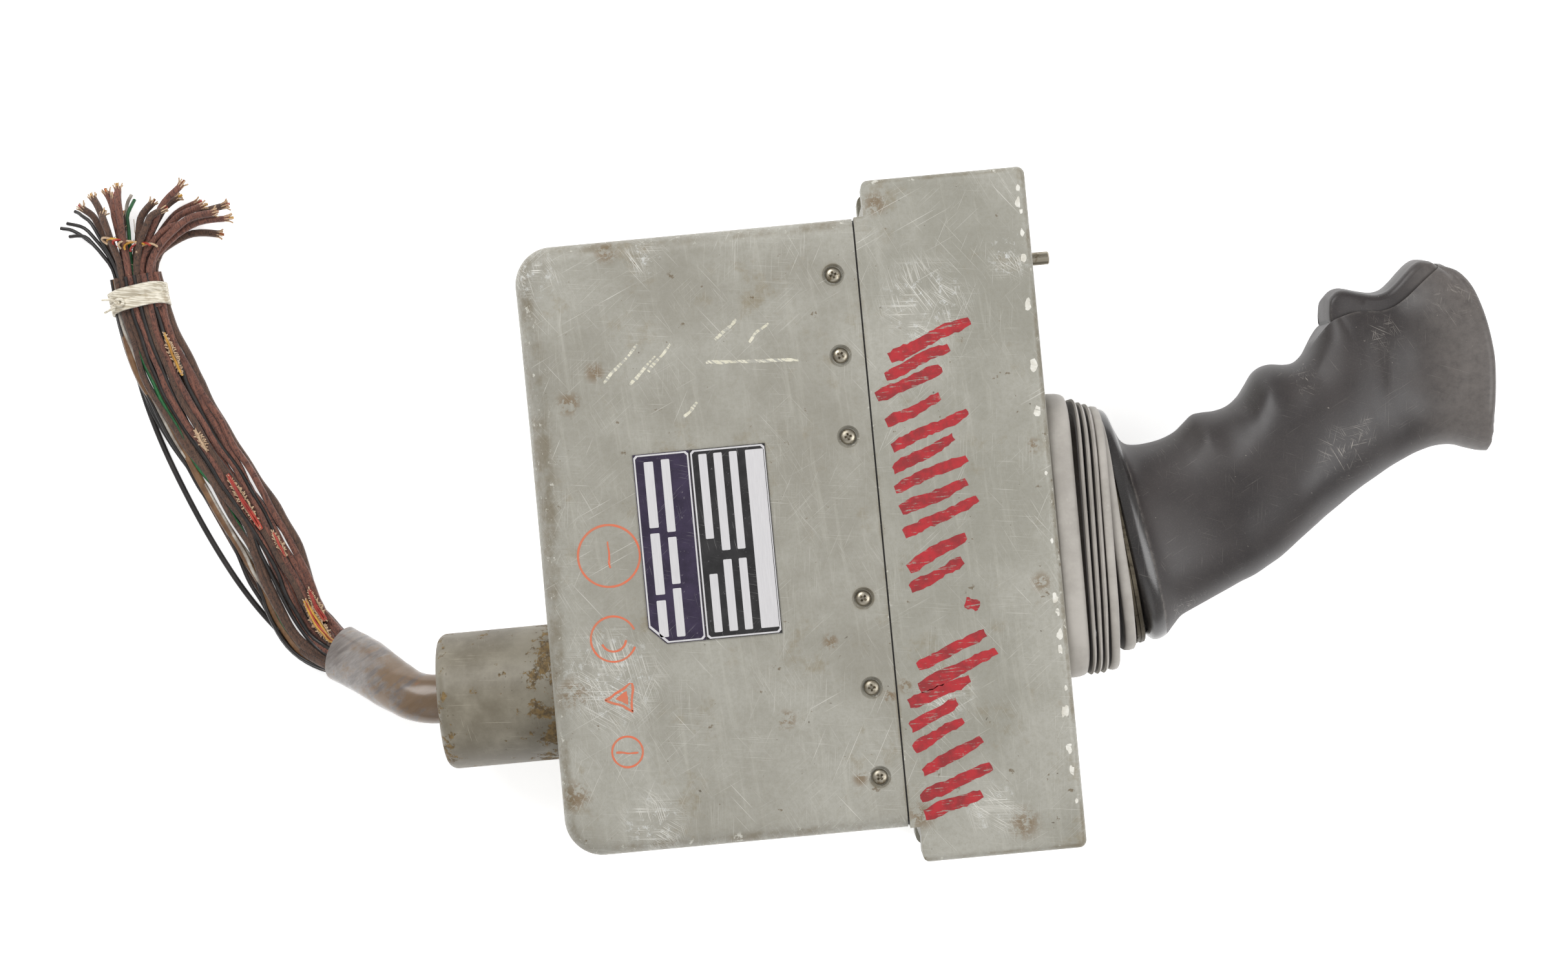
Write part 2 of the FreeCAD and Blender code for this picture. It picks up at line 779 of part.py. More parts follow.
def yaw_parts():
    for label, low in (
        ("yaw_bearing_rear", "roll_x - yoke_length / 2 + 1"),
        ("yaw_bearing_front", "roll_x + yoke_length / 2 - 1 - yaw_bearing_length"),
    ):
        start = (low, "column_place", "mid_z")
        length = "yaw_bearing_length"
        bearing = sleeve(label, "X", start, "yaw_bearing", "column_radius + fit_gap", length)
        node(bearing, label)
    start = ("roll_x - yoke_length / 2", "column_place", "mid_z")
    flange_low = "flange_x - column_flange_thick - roll_x + yoke_length / 2"
    outline = (
        ("0", "-8"),
        ("tail_radius", "-8"),
        ("tail_radius", "1"),
        ("column_radius", "1"),
        ("column_radius", flange_low),
        ("column_flange", flange_low),
        ("column_flange", f"{flange_low} + column_flange_thick"),
        ("0", f"{flange_low} + column_flange_thick"),
    )
    node(turned("yaw_column", "X", start, outline), "yaw_column")
    ring_start = ("roll_x + yoke_length / 2 + face_gap", "column_place", "mid_z")
    ring = sleeve("yaw_retainer", "X", ring_start, "column_radius + 3", "column_radius", "3")
    node(ring, "yaw_retainer")
    cup = (
        ("tail_radius + face_gap", "0"),
        ("yaw_bearing + 2", "0"),
        ("yaw_bearing + 2", "-2"),
        ("canister_radius", "-2"),
        ("canister_radius", "-20"),
        ("0", "-20"),
        ("0", "-9"),
        ("tail_radius + face_gap", "-9"),
    )
    node(turned("yaw_transducer", "X", start, cup), "yaw_transducer")
    spring_start = ("roll_x + yoke_length / 2 + 4.3", "column_place", "mid_z")
    spring = coil("yaw_spring", "X", spring_start, "column_radius + 1.4", "spring_wire * 1.4", "9.4", 5)
    node(spring, "yaw_spring")


def pitch_fork():
    """The lever from the column's flange to the eye at the palm pivot."""
    flange_start = ("flange_x", "column_place", "mid_z")
    flange = rod("fork_flange", "X", flange_start, "column_flange", "column_flange_thick")
    outline = (
        ("flange_x + 1", "column_place - fork_half_width"),
        ("palm_x", "palm_y - fork_half_width"),
        ("palm_x", "palm_y + fork_half_width"),
        ("flange_x + 1", "column_place + fork_half_width"),
    )
    beam = sheet_metal("fork_beam", ("0", "0", "mid_z"), outline, "fork_half_thick * 2", True)
    eye_start = ("palm_x", "palm_y", "mid_z - fork_half_thick")
    eye = rod("fork_eye_ring", "Z", eye_start, "fork_eye", "fork_half_thick * 2")
    bore = rod("fork_bore", "Z", eye_start, "pitch_bearing + fit_gap", "fork_half_thick * 2")
    node(without("pitch_fork", united("fork_blank", flange, beam, eye), bore), "pitch_fork")
    for label, low in (
        ("pitch_bearing_right", "mid_z - fork_half_thick"),
        ("pitch_bearing_left", "mid_z + fork_half_thick - pitch_bearing_length"),
    ):
        start = ("palm_x", "palm_y", low)
        length = "pitch_bearing_length"
        bearing = sleeve(label, "Z", start, "pitch_bearing", "pin_radius + fit_gap", length)
        node(bearing, label)


# ---------------------------------------------------------------- grip

# Sections of the grip from its base to its head. Each has a point on the front outline and
# one on the back outline, measured from the front face and the column axis, then half its
# width across the controller. Further along, the chords lean over towards the end face.
GRIP_SECTIONS = (
    ((26.0, 37.9), (38.5, -40.6), 28.0),
    ((30.0, 30.2), (43.0, -34.4), 22.5),
    ((43.3, 31.2), (52.8, -29.4), 21.0),
    ((54.5, 38.0), (64.0, -24.5), 21.0),
    ((66.0, 39.6), (76.5, -18.6), 21.8),
    ((76.2, 48.6), (90.3, -9.5), 22.8),
    ((88.5, 53.8), (104.4, 0.5), 23.4),
    ((99.0, 57.2), (120.7, 11.0), 23.5),
    ((107.2, 72.0), (132.0, 16.2), 23.2),
    ((115.5, 78.4), (142.0, 19.0), 22.8),
    ((127.5, 77.4), (150.5, 18.6), 22.4),
    ((137.5, 86.2), (157.0, 16.8), 21.8),
    ((147.1, 84.3), (161.1, 16.3), 20.5),
    ((151.0, 82.4), (163.2, 20.5), 18.6),
    ((154.6, 77.0), (164.4, 28.0), 14.0),
)
BASE_SECTIONS = (
    ((21.0, 43.9), (31.5, -40.1), 28.0),
    ((26.0, 37.9), (38.5, -40.6), 28.0),
)
CORNERS = 16
FULLNESS = 2.4


def outline_point(point):
    return Vector(size("front_x") + point[0], size("column_place") + point[1], size("mid_z"))


def section(front, back, half_width, inset=0.0):
    """A closed curve in the plane of the chord and Z, drawn in by an inset."""
    start = outline_point(front)
    end = outline_point(back)
    middle = (start + end) / 2
    chord = start - end
    reach = chord.Length / 2 - inset
    chord.normalize()
    points = []
    for number in range(CORNERS):
        turn = 2 * math.pi * number / CORNERS
        along = math.copysign(abs(math.cos(turn)) ** (2 / FULLNESS), math.cos(turn)) * reach
        across = math.copysign(abs(math.sin(turn)) ** (2 / FULLNESS), math.sin(turn))
        points.append(middle + chord * along + Vector(0, 0, across * (half_width - inset)))
    curve = Part.BSplineCurve()
    curve.interpolate(points, PeriodicFlag=True)
    return Part.Wire(curve.toShape())


def lofted(sections, inset=0.0):
    wires = [section(*item, inset=inset) for item in sections]
    return Part.makeLoft(wires, True, True)


def feature(label, shape):
    """A sub-part whose form is worked out here rather than by a feature."""
    piece = doc.addObject("Part::Feature", label)
    piece.Shape = shape
    piece.Placement = FreeCAD.Placement()
    return node(piece, label)


# The seam below the trigger, from its lower end to the head, and the trigger's own edge
SEAM = ((100.0, 68.0), (109.0, 68.5), (116.0, 69.9), (125.4, 69.3), (130.1, 70.3), (134.7, 73.2))
SEAM_END = ((138.9, 77.3), (141.8, 80.4), (146.5, 82.2))
POST_PLACES = ((104.5, 28.4), (134.5, 41.0))


def prism(points, low, high):
    """A straight-sided solid over a closed polygon, between two heights."""
    corners = [outline_point(point) for point in points]
    corners = [Vector(corner.x, corner.y, low) for corner in corners]
    face = Part.Face(Part.makePolygon(corners + corners[:1]))
    return face.extrude(Vector(0, 0, high - low))


def swung(points, degrees):
    """Points turned about the trigger's pivot."""
    turn = math.radians(degrees)
    pivot = (size("trigger_out"), size("trigger_up"))
    moved = []
    for x, y in points:
        across = x - pivot[0]
        up = y - pivot[1]
        x_new = pivot[0] + across * math.cos(turn) - up * math.sin(turn)
        y_new = pivot[1] + across * math.sin(turn) + up * math.cos(turn)
        moved.append((x_new, y_new))
    return moved


def trigger_parts(whole_grip):
    mid = size("mid_z")
    above = ((150.0, 84.0), (150.0, 110.0), (96.0, 110.0))
    lower_edge = [(x, y + 0.7) for x, y in SEAM[:4]]
    upper_edge = swung([(x, y + 0.4) for x, y in SEAM[4:] + SEAM_END[:1]], 4.5)
    stop = [(144.2, 87.0), (144.2, 110.0)]
    skin = prism([*lower_edge, *upper_edge, *stop, (100.0, 110.0)], 0, 2 * mid)
    half = size("tongue_half")
    tongue = prism(
        ((110.5, 71.0), (112.5, 62.0), (140.5, 62.0), (140.5, 74.0), (128.0, 72.0)), mid - half, mid + half
    )
    pin_start = Vector(size("trigger_x"), size("trigger_y"), 0)
    pin_hole = Part.makeCylinder(size("trigger_pin_radius") + size("fit_gap"), 2 * mid, pin_start)
    trigger = whole_grip.common(skin).fuse(whole_grip.common(tongue)).cut(pin_hole).removeSplitter()
    feature("trigger", trigger)
    pocket = prism([*SEAM, *SEAM_END, *above], 0, 2 * mid)
    return pocket


def grip_parts():
    mid = size("mid_z")
    wall = size("shell_wall")
    whole = lofted(GRIP_SECTIONS)
    cavity = lofted(GRIP_SECTIONS[:-2], inset=wall)
    lead_in = lofted((BASE_SECTIONS[0], GRIP_SECTIONS[0]), inset=size("ring_wall"))
    pocket = trigger_parts(whole)
    cheek_top = size("fork_half_thick") + size("side_gap") + size("cheek_thick")
    posts = []
    holes = []
    heads = []
    for point in POST_PLACES:
        centre = outline_point(point)
        low = Vector(centre.x, centre.y, 0)
        post = Part.makeCylinder(size("boss_post"), 2 * mid, low)
        gap = Part.makeBox(20, 20, 2 * cheek_top, Vector(centre.x - 10, centre.y - 10, mid - cheek_top))
        posts.append(whole.common(post.cut(gap)))
        depth = size("grip_head_depth")
        hole_radius = size("grip_screw_radius") + size("fit_gap")
        holes.append(Part.makeCylinder(hole_radius, mid + depth, low))
        holes.append(Part.makeCylinder(size("grip_head_radius") + 0.3, mid - depth, low))
        head_low = Vector(centre.x, centre.y, mid - depth - 2.6)
        shank_low = Vector(centre.x, centre.y, mid - depth - 0.1)
        head = Part.makeCylinder(size("grip_head_radius"), 2.6, head_low)
        shank = Part.makeCylinder(size("grip_screw_radius"), 2 * depth - 0.4, shank_low)
        heads.append(head.fuse(shank))
    shell = whole.cut(cavity).fuse(posts).cut([pocket, *holes])
    big = 400.0
    upper_half = Part.makeBox(big, big, big, Vector(0, -big / 2, mid))
    lower_half = Part.makeBox(big, big, big, Vector(0, -big / 2, mid - big))
    feature("grip_shell_left", shell.common(upper_half).removeSplitter())
    feature("grip_shell_right", shell.common(lower_half).removeSplitter())
    feature("grip_screws", Part.makeCompound(heads))
    base = lofted(BASE_SECTIONS)
    feature("grip_base_ring", base.cut(lead_in))


def grip_frame():
    """Two cheeks about the palm pivot, joined beyond the fork's eye."""
    outline = (
        ("palm_x - 12", "palm_y - 8"),
        ("palm_x", "palm_y - 11"),
        ("palm_x + 14", "palm_y - 2"),
        ("palm_x + 34", "palm_y + 7"),
        ("palm_x + 62", "palm_y + 23"),
        ("palm_x + 62", "palm_y + 32"),
        ("palm_x + 46", "palm_y + 32"),
        ("palm_x + 28", "palm_y + 31"),
        ("palm_x + 10", "palm_y + 15"),
        ("palm_x - 8", "palm_y + 11"),
    )
    thick = "(fork_half_thick + side_gap + cheek_thick) * 2"
    solid = sheet_metal("frame_cheeks", ("0", "0", "mid_z"), outline, thick, True)
    slot_start = ("palm_x - 20", "palm_y - 20", "mid_z - fork_half_thick - side_gap")
    slot_end = "(fork_half_thick + side_gap) * 2"
    slot = block("frame_slot", slot_start, ("20 + fork_eye + 2", "60", slot_end))
    pin = rod("frame_pin_hole", "Z", ("palm_x", "palm_y", "0"), "pin_radius + fit_gap", "case_thick")
    holes = []
    for number, point in enumerate(POST_PLACES):
        start = (f"front_x + {point[0]}", f"column_place + {point[1]}", "0")
        radius = "grip_screw_radius + fit_gap"
        holes.append(rod(f"frame_post_hole_{number}", "Z", start, radius, "case_thick"))
    node(without("grip_frame", solid, slot, pin, *holes), "grip_frame")
    pin_start = ("palm_x", "palm_y", "mid_z - pin_half")
    node(rod("pitch_pin", "Z", pin_start, "pin_radius", "pin_half * 2"), "pitch_pin")
    cheek = "(fork_half_thick + side_gap + cheek_thick)"
    spring_start = ("palm_x", "palm_y", f"mid_z + {cheek} + 0.1")
    spring = coil("pitch_spring", "Z", spring_start, "pin_radius + 1.2", "spring_wire * 0.8", "3.2", 3)
    node(spring, "pitch_spring")
    can_start = ("palm_x", "palm_y", f"mid_z - {cheek} - 7")
    can = rod("pitch_sensor_can", "Z", can_start, "canister_radius", "7")
    socket = rod("pitch_sensor_socket", "Z", can_start, "pin_radius + fit_gap", "7")
    node(without("pitch_transducer", can, socket), "pitch_transducer")


def trigger_switch():
    """The switch that stands on the grip's frame below the trigger, and its plunger."""
    base_y = "palm_y + 32"
    start = ("palm_x + 47", base_y, "mid_z - switch_side")
    box = block("switch_box", start, ("14", "switch_height", "switch_side * 2"))
    well_start = ("palm_x + 54", f"{base_y} + 4", "mid_z")
    well = rod("switch_well", "Y", well_start, "plunger_radius + fit_gap", "switch_height - 4")
    node(without("trigger_switch", box, well), "trigger_switch")
    plunger_start = ("palm_x + 54", f"{base_y} + 6", "mid_z")
    length = "switch_height - 6 + plunger_out"
    node(rod("switch_plunger", "Y", plunger_start, "plunger_radius", length), "switch_plunger")


def boot_and_band():
    """The folded boot as one plain hollow skirt, its retainer and the band at its top."""
    base_front = (0.0, size("boot_base_half"))
    base_back = (0.0, -size("boot_base_half"))
    base = (base_front, base_back, size("boot_base_side"))
    ring = BASE_SECTIONS[0]
    lean = Vector(ring[0][1] - ring[1][1], ring[1][0] - ring[0][0], 0).normalize()
    drop = size("band_width") + 0.5

    def moved(item, distance):
        front = (item[0][0] - lean.x * distance, item[0][1] - lean.y * distance)
        back = (item[1][0] - lean.x * distance, item[1][1] - lean.y * distance)
        return (front, back, item[2])

    edge = size("band_thick") + 1.4
    top_wires = [section(*moved(ring, distance), inset=edge) for distance in (drop, 0.0)]
    outer = Part.makeLoft([section(*base), *top_wires], True, True)
    wall = size("boot_wall")
    hole_wires = [section(*moved(ring, distance), inset=edge + wall) for distance in (drop, 0.0)]
    inner = Part.makeLoft([section(*base, inset=wall), *hole_wires], True, True)
    feature("boot", outer.cut(inner))
    band_wires = [section(*moved(ring, distance), inset=edge - 1.1) for distance in (drop - 0.5, 0.0)]
    gap_wires = [section(*moved(ring, distance), inset=edge - 0.3) for distance in (drop - 0.5, 0.0)]
    band = Part.makeLoft(band_wires, True, True).cut(Part.makeLoft(gap_wires, True, True))
    feature("boot_clamp_band", band)
    start = ("front_x", "column_place", "mid_z")
    lengths = ("2", "(boot_base_half - boot_wall) * 2 - 18", "(boot_base_side - boot_wall) * 2 - 12")
    plate = centred("retainer_plate", start, lengths)

    def along_x(item):
        return (20.0, 20.0) if item.BoundBox.XLength > 1 else None

    soft = rounded("retainer_soft", plate, along_x)
    hole = rod("retainer_hole", "X", start, "opening_radius + 2", "2")
    node(without("boot_retainer", soft, hole), "boot_retainer")


# ---------------------------------------------------------------- cord

SLEEVE_ROUTE = (
    (-134.1, -49.2, 41.25),
    (-142.0, -49.2, 41.25),
    (-150.6, -44.4, 35.6),
    (-158.6, -38.9, 27.6),
    (-166.0, -34.0, 19.0),
    (-173.2, -30.5, 13.0),
)
BUNDLE_ROUTE = (
    (-173.2, -30.5, 13.0),
    (-178.96, -27.7, 8.2),
    (-185.8, -20.4, 6.6),
    (-191.2, -6.2, 6.1),
    (-197.4, 10.8, 6.1),
    (-206.3, 29.6, 6.1),
    (-215.2, 46.4, 6.1),
    (-223.0, 62.8, 6.1),
    (-230.0, 78.6, 6.3),
    (-234.0, 93.5, 7.2),
    (-236.8, 106.0, 7.6),
    (-237.6, 117.0, 7.6),
)
LOOSE_ROUTES = (
    (
        (-173.5, -37.3, 9.5),
        (-180.7, -33.8, 3.5),
        (-188.6, -29.8, 1.7),
        (-197.4, -20.6, 1.6),
        (-207.6, -6.6, 1.6),
        (-217.0, 10.6, 1.6),
        (-226.3, 31.4, 1.6),
        (-235.4, 55.8, 1.6),
        (-241.6, 80.2, 1.6),
        (-244.3, 103.3, 1.6),
    ),
    (
        (-178.3, -35.0, 16.5),
        (-185.5, -31.5, 10.5),
        (-192.0, -24.8, 5.6),
        (-197.9, -13.6, 1.7),
        (-204.6, -1.4, 1.6),
        (-212.0, 15.0, 1.6),
        (-220.6, 34.2, 1.6),
        (-228.4, 51.6, 1.6),
        (-234.8, 68.5, 1.6),
    ),
)
# Each loose end: how far across the bundle it starts, its height there, a bend and its tip
FAN_ROUTES = (
    (-4.6, 5.2, (-246.5, 126.4, 1.9), (-265.3, 138.2, 1.6)),
    (-3.6, 8.6, (-244.8, 131.6, 3.2), (-256.8, 144.6, 1.6)),
    (-0.6, 4.6, (-238.8, 132.0, 1.9), (-245.1, 150.9, 1.6)),
    (0.2, 8.4, (-232.0, 132.6, 3.6), (-216.4, 149.9, 1.6)),
    (3.4, 9.2, (-226.6, 127.8, 4.6), (-210.1, 141.4, 1.6)),
    (4.6, 5.4, (-221.4, 124.0, 2.0), (-200.5, 135.0, 1.6)),
)


def cord_path(route):
    """Straight runs joined by tangent arcs, each as large as its two runs allow."""
    points = [Vector(*point) for point in route]
    edges = []
    radii = []
    start = points[0]
    for number in range(1, len(points) - 1):
        before = points[number] - points[number - 1]
        after = points[number + 1] - points[number]
        turn = before.getAngle(after)
        reach = 0.45 * min(before.Length, after.Length)
        radius = reach / math.tan(turn / 2)
        radii.append(radius)
        before.normalize()
        after.normalize()
        arc_start = points[number] - before * reach
        arc_end = points[number] + after * reach
        inward = after - before
        inward.normalize()
        rise = radius / math.cos(turn / 2) - radius
        arc_middle = points[number] + inward * rise
        edges.append(Part.LineSegment(start, arc_start).toShape())
        edges.append(Part.Arc(arc_start, arc_middle, arc_end).toShape())
        start = arc_end
    edges.append(Part.LineSegment(start, points[-1]).toShape())
    return Part.Wire(edges), radii


def cord_tube(label, route, radius):
    path, radii = cord_path(route)
    first = Vector(*route[0])
    heading = Vector(*route[1]) - first
    ring = Part.Wire(Part.makeCircle(radius, first, heading))
    tube = path.makePipeShell([ring], True, False)
    expected = math.pi * radius**2 * path.Length
    print(label, "length", round(path.Length, 1), "radii", [round(item) for item in radii])
    print(label, "volume against section times length", round(tube.Volume / expected, 3))
    return tube


def harness():
    feature("harness_sleeve", cord_tube("harness_sleeve", SLEEVE_ROUTE, size("sleeve_radius")))
    feature("harness_bundle", cord_tube("harness_bundle", BUNDLE_ROUTE, size("bundle_radius")))
    for number, route in enumerate(LOOSE_ROUTES, 1):
        label = "loose_wire_%d" % number
        feature(label, cord_tube(label, route, size("wire_radius")))
    end = Vector(*BUNDLE_ROUTE[-1])
    heading = (end - Vector(*BUNDLE_ROUTE[-2])).normalize()
    across = Vector(heading.y, -heading.x, 0)
    ends = []
    for offset, height, bend, tip in FAN_ROUTES:
        start = end + across * offset
        lead = start + heading * 6
        route = ((start.x, start.y, height), (lead.x, lead.y, height), bend, tip)
        ends.append(cord_tube("wire_fan", route, size("wire_radius")))
    feature("wire_fan", Part.makeCompound(ends))
    middle = Vector(*BUNDLE_ROUTE[-2])
    low = middle - heading * (size("tie_length") / 2)
    inner = size("bundle_radius") + size("tie_gap")
    band = Part.makeCylinder(inner + size("tie_thick"), size("tie_length"), low, heading)
    feature("lacing_tie", band.cut(Part.makeCylinder(inner, size("tie_length"), low, heading)))


rear_cover()
front_housing()
housing_gasket()
cover_screws()
cable_boss()
name_plates()
terminal_board()
lock()
gimbal_frame()
roll_parts()
switch_stack()
yaw_parts()
pitch_fork()
grip_parts()
grip_frame()
trigger_switch()
boot_and_band()
harness()
doc.recompute()

for item in doc.Objects:
    faults = [state for state in item.State if state in ("Invalid", "Error")]
    if faults:
        raise RuntimeError("%s is %s" % (item.Label, faults))
for item in NODES:
    if item.Shape.isNull() or not item.Shape.isValid() or not item.Shape.Solids:
        raise RuntimeError("%s has no valid solid" % item.Label)

os.makedirs("parts", exist_ok=True)
for item in NODES:
    item.Shape.exportStep("parts/%s.step" % item.Label)
    print(item.Label, len(item.Shape.Solids), round(item.Shape.Volume / 1000, 2), "cm3")
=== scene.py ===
import json
import math
import random

import bmesh
import bpy
from mathutils import Matrix, Quaternion, Vector, noise


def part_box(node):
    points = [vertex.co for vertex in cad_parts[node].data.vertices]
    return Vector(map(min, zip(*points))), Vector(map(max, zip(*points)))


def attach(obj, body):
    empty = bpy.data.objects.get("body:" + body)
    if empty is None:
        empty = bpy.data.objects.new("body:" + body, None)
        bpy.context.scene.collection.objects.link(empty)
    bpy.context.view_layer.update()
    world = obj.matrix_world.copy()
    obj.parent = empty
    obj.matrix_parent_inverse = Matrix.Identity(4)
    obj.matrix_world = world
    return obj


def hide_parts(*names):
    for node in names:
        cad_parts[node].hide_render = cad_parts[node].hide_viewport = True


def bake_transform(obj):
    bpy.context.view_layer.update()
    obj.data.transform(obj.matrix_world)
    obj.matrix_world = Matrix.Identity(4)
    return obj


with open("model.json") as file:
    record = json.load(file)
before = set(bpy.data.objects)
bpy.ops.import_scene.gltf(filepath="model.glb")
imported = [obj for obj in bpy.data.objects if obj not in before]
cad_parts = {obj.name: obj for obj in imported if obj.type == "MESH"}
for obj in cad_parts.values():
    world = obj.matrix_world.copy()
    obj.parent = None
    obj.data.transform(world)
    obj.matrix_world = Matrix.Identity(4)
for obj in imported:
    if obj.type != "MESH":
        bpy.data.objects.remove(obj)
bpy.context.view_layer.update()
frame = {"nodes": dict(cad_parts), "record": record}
NODES = frame["nodes"]
MM = 0.001
MID = sum(corner.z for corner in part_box("rear_cover")) / 2 / MM
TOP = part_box("rear_cover")[1].z / MM
SUNK = 0.02
random.seed(7)


# ---------------------------------------------------------------- small helpers

def ease(value, low=0.0, high=1.0):
    """A smooth step from 0 at low to 1 at high."""
    share = min(max((value - low) / (high - low), 0.0), 1.0)
    return share * share * (3 - 2 * share)


def wander(x, y=0.0, z=0.0, seed=0.0):
    """Smooth noise between about -1 and 1."""
    return noise.noise(Vector((x + seed * 7.31, y - seed * 3.17, z + seed * 1.93)))


def through(rows, place):
    """A smooth curve through rows of numbers, read at a place counted in rows."""
    last = len(rows) - 1
    place = min(max(place, 0.0), float(last))
    index = min(int(place), last - 1)
    share = place - index
    before = rows[max(index - 1, 0)]
    after = rows[min(index + 2, last)]
    here = rows[index]
    there = rows[index + 1]
    values = []
    for a, b, c, d in zip(before, here, there, after):
        values.append(
            b
            + 0.5 * share * (c - a + share * (2 * a - 5 * b + 4 * c - d + share * (3 * (b - c) + d - a)))
        )
    return values


def piece(name, points, faces, material, body=None, sharp=40):
    """A mesh from points in millimetres, shaded smooth but for edges sharper than an angle."""
    mesh = bpy.data.meshes.new(name)
    mesh.from_pydata([Vector(point) * MM for point in points], [], faces)
    mesh.validate()
    tidy = bmesh.new()
    tidy.from_mesh(mesh)
    bmesh.ops.recalc_face_normals(tidy, faces=tidy.faces)
    tidy.to_mesh(mesh)
    tidy.free()
    mesh.shade_smooth()
    mesh.set_sharp_from_angle(angle=math.radians(sharp))
    thing = bpy.data.objects.new(name, mesh)
    bpy.context.scene.collection.objects.link(thing)
    for item in material if isinstance(material, (list, tuple)) else [material]:
        mesh.materials.append(item)
    if body:
        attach(thing, body)
    return thing


class Shape:
    """Points and faces gathered from several closed forms."""

    def __init__(self):
        self.points = []
        self.faces = []
        self.paints = []

    def add(self, points, faces, paint=0):
        start = len(self.points)
        self.points.extend(points)
        self.faces.extend([start + corner for corner in face] for face in faces)
        self.paints.extend([paint] * len(faces))

    def made(self, name, material, slot, body=None, sharp=40):
        thing = piece(name, self.points, self.faces, material, body, sharp)
        if len(thing.data.polygons) == len(self.paints):
            thing.data.polygons.foreach_set("material_index", self.paints)
        return thing


def tube_faces(rings, around, closed=False, caps=True):
    """Faces between rings of points, with a flat cap at each end unless the tube closes."""
    faces = []
    for ring in range(rings if closed else rings - 1):
        above = (ring + 1) % rings
        for corner in range(around):
            beside = (corner + 1) % around
            faces.append([ring * around + corner, ring * around + beside,
                          above * around + beside, above * around + corner])
    if caps and not closed:
        faces.append(list(range(around))[::-1])
        faces.append([(rings - 1) * around + corner for corner in range(around)])
    return faces


def lofted(rings, closed=False):
    """A shape skinned over rings of points."""
    shape = Shape()
    shape.add([point for ring in rings for point in ring], tube_faces(len(rings), len(rings[0]), closed))
    return shape


def lifted(points, least):
    """The same points, none lower than a height."""
    for point in points:
        point.z = max(point.z, least)
    return points


def slab(outline, low, high, soft=0.0):
    """A flat closed form over an outline, between two heights, its upper rim drawn in a little."""
    count = len(outline)
    middle = Vector((sum(p[0] for p in outline) / count, sum(p[1] for p in outline) / count))
    points = [(p[0], p[1], low) for p in outline]
    for x, y in outline:
        inward = middle - Vector((x, y))
        inward = inward.normalized() * min(soft, inward.length / 2) if inward.length else inward
        points.append((x + inward.x, y + inward.y, high))
    return points, tube_faces(2, count)


def rectangle(x0, y0, x1, y1, radius=0.0, steps=4):
    """A rectangle's outline with round corners."""
    if radius <= 0:
        return [(x0, y0), (x1, y0), (x1, y1), (x0, y1)]
    outline = []
    corners = ((x1 - radius, y0 + radius, -90), (x1 - radius, y1 - radius, 0),
               (x0 + radius, y1 - radius, 90), (x0 + radius, y0 + radius, 180))
    for cx, cy, start in corners:
        for step in range(steps + 1):
            angle = math.radians(start + 90 * step / steps)
            outline.append((cx + radius * math.cos(angle), cy + radius * math.sin(angle)))
    return outline


def route_line(route, bevel=None):
    """A NURBS spline with a route's points, given in millimetres, as its control points."""
    curve = bpy.data.curves.new("route", "CURVE")
    curve.dimensions = "3D"
    spline = curve.splines.new("NURBS")
    spline.points.add(len(route) - 1)
    for point, place in zip(spline.points, route):
        point.co = (*(Vector(place) * MM), 1)
    spline.order_u = 3
    spline.use_endpoint_u = True
    spline.resolution_u = 12
    curve.resolution_u = 12
    if bevel:
        curve.bevel_depth = bevel * MM
        curve.bevel_resolution = 4
        curve.use_fill_caps = True
    return curve


def along(route):
    """Points in millimetres along a route's NURBS spline."""
    carrier = bpy.data.objects.new("route_reader", route_line(route))
    bpy.context.scene.collection.objects.link(carrier)
    bpy.context.view_layer.update()
    mesh = bpy.data.meshes.new_from_object(carrier)
    line = [vertex.co / MM for vertex in mesh.vertices]
    bpy.data.objects.remove(carrier)
    return line


class Line:
    """A polyline that gives a point and a level frame at any distance."""

    def __init__(self, points):
        self.points = [Vector(point) for point in points]
        self.marks = [0.0]
        for before, after in zip(self.points, self.points[1:]):
            self.marks.append(self.marks[-1] + (after - before).length)
        self.length = self.marks[-1]

    def at(self, distance):
        distance = min(max(distance, 0.0), self.length)
        index = 0
        while index < len(self.points) - 2 and self.marks[index + 1] < distance:
            index += 1
        run = self.marks[index + 1] - self.marks[index]
        share = (distance - self.marks[index]) / run if run else 0.0
        return self.points[index].lerp(self.points[index + 1], share)

    def frame(self, distance):
        """Heading, level sideways direction and upward direction."""
        heading = (self.at(distance + 2.0) - self.at(distance - 2.0)).normalized()
        side = heading.cross(Vector((0, 0, 1))).normalized()
        return heading, side, side.cross(heading).normalized()


def strand(shape, centres, radius, around=7, paint=0, swell=None):
    """A thin tube along points, carried without twist."""
    count = len(centres)
    heading = (centres[1] - centres[0]).normalized()
    side = heading.orthogonal().normalized()
    points = []
    for index, centre in enumerate(centres):
        ahead = centres[min(index + 1, count - 1)] - centres[max(index - 1, 0)]
        ahead.normalize()
        side = side - ahead * side.dot(ahead)
        side.normalize()
        up = ahead.cross(side)
        size = radius * (swell(index / (count - 1)) if swell else 1.0)
        for corner in range(around):
            angle = 2 * math.pi * corner / around
            points.append(centre + side * math.cos(angle) * size + up * math.sin(angle) * size)
    shape.add(points, tube_faces(count, around), paint)


# ---------------------------------------------------------------- materials

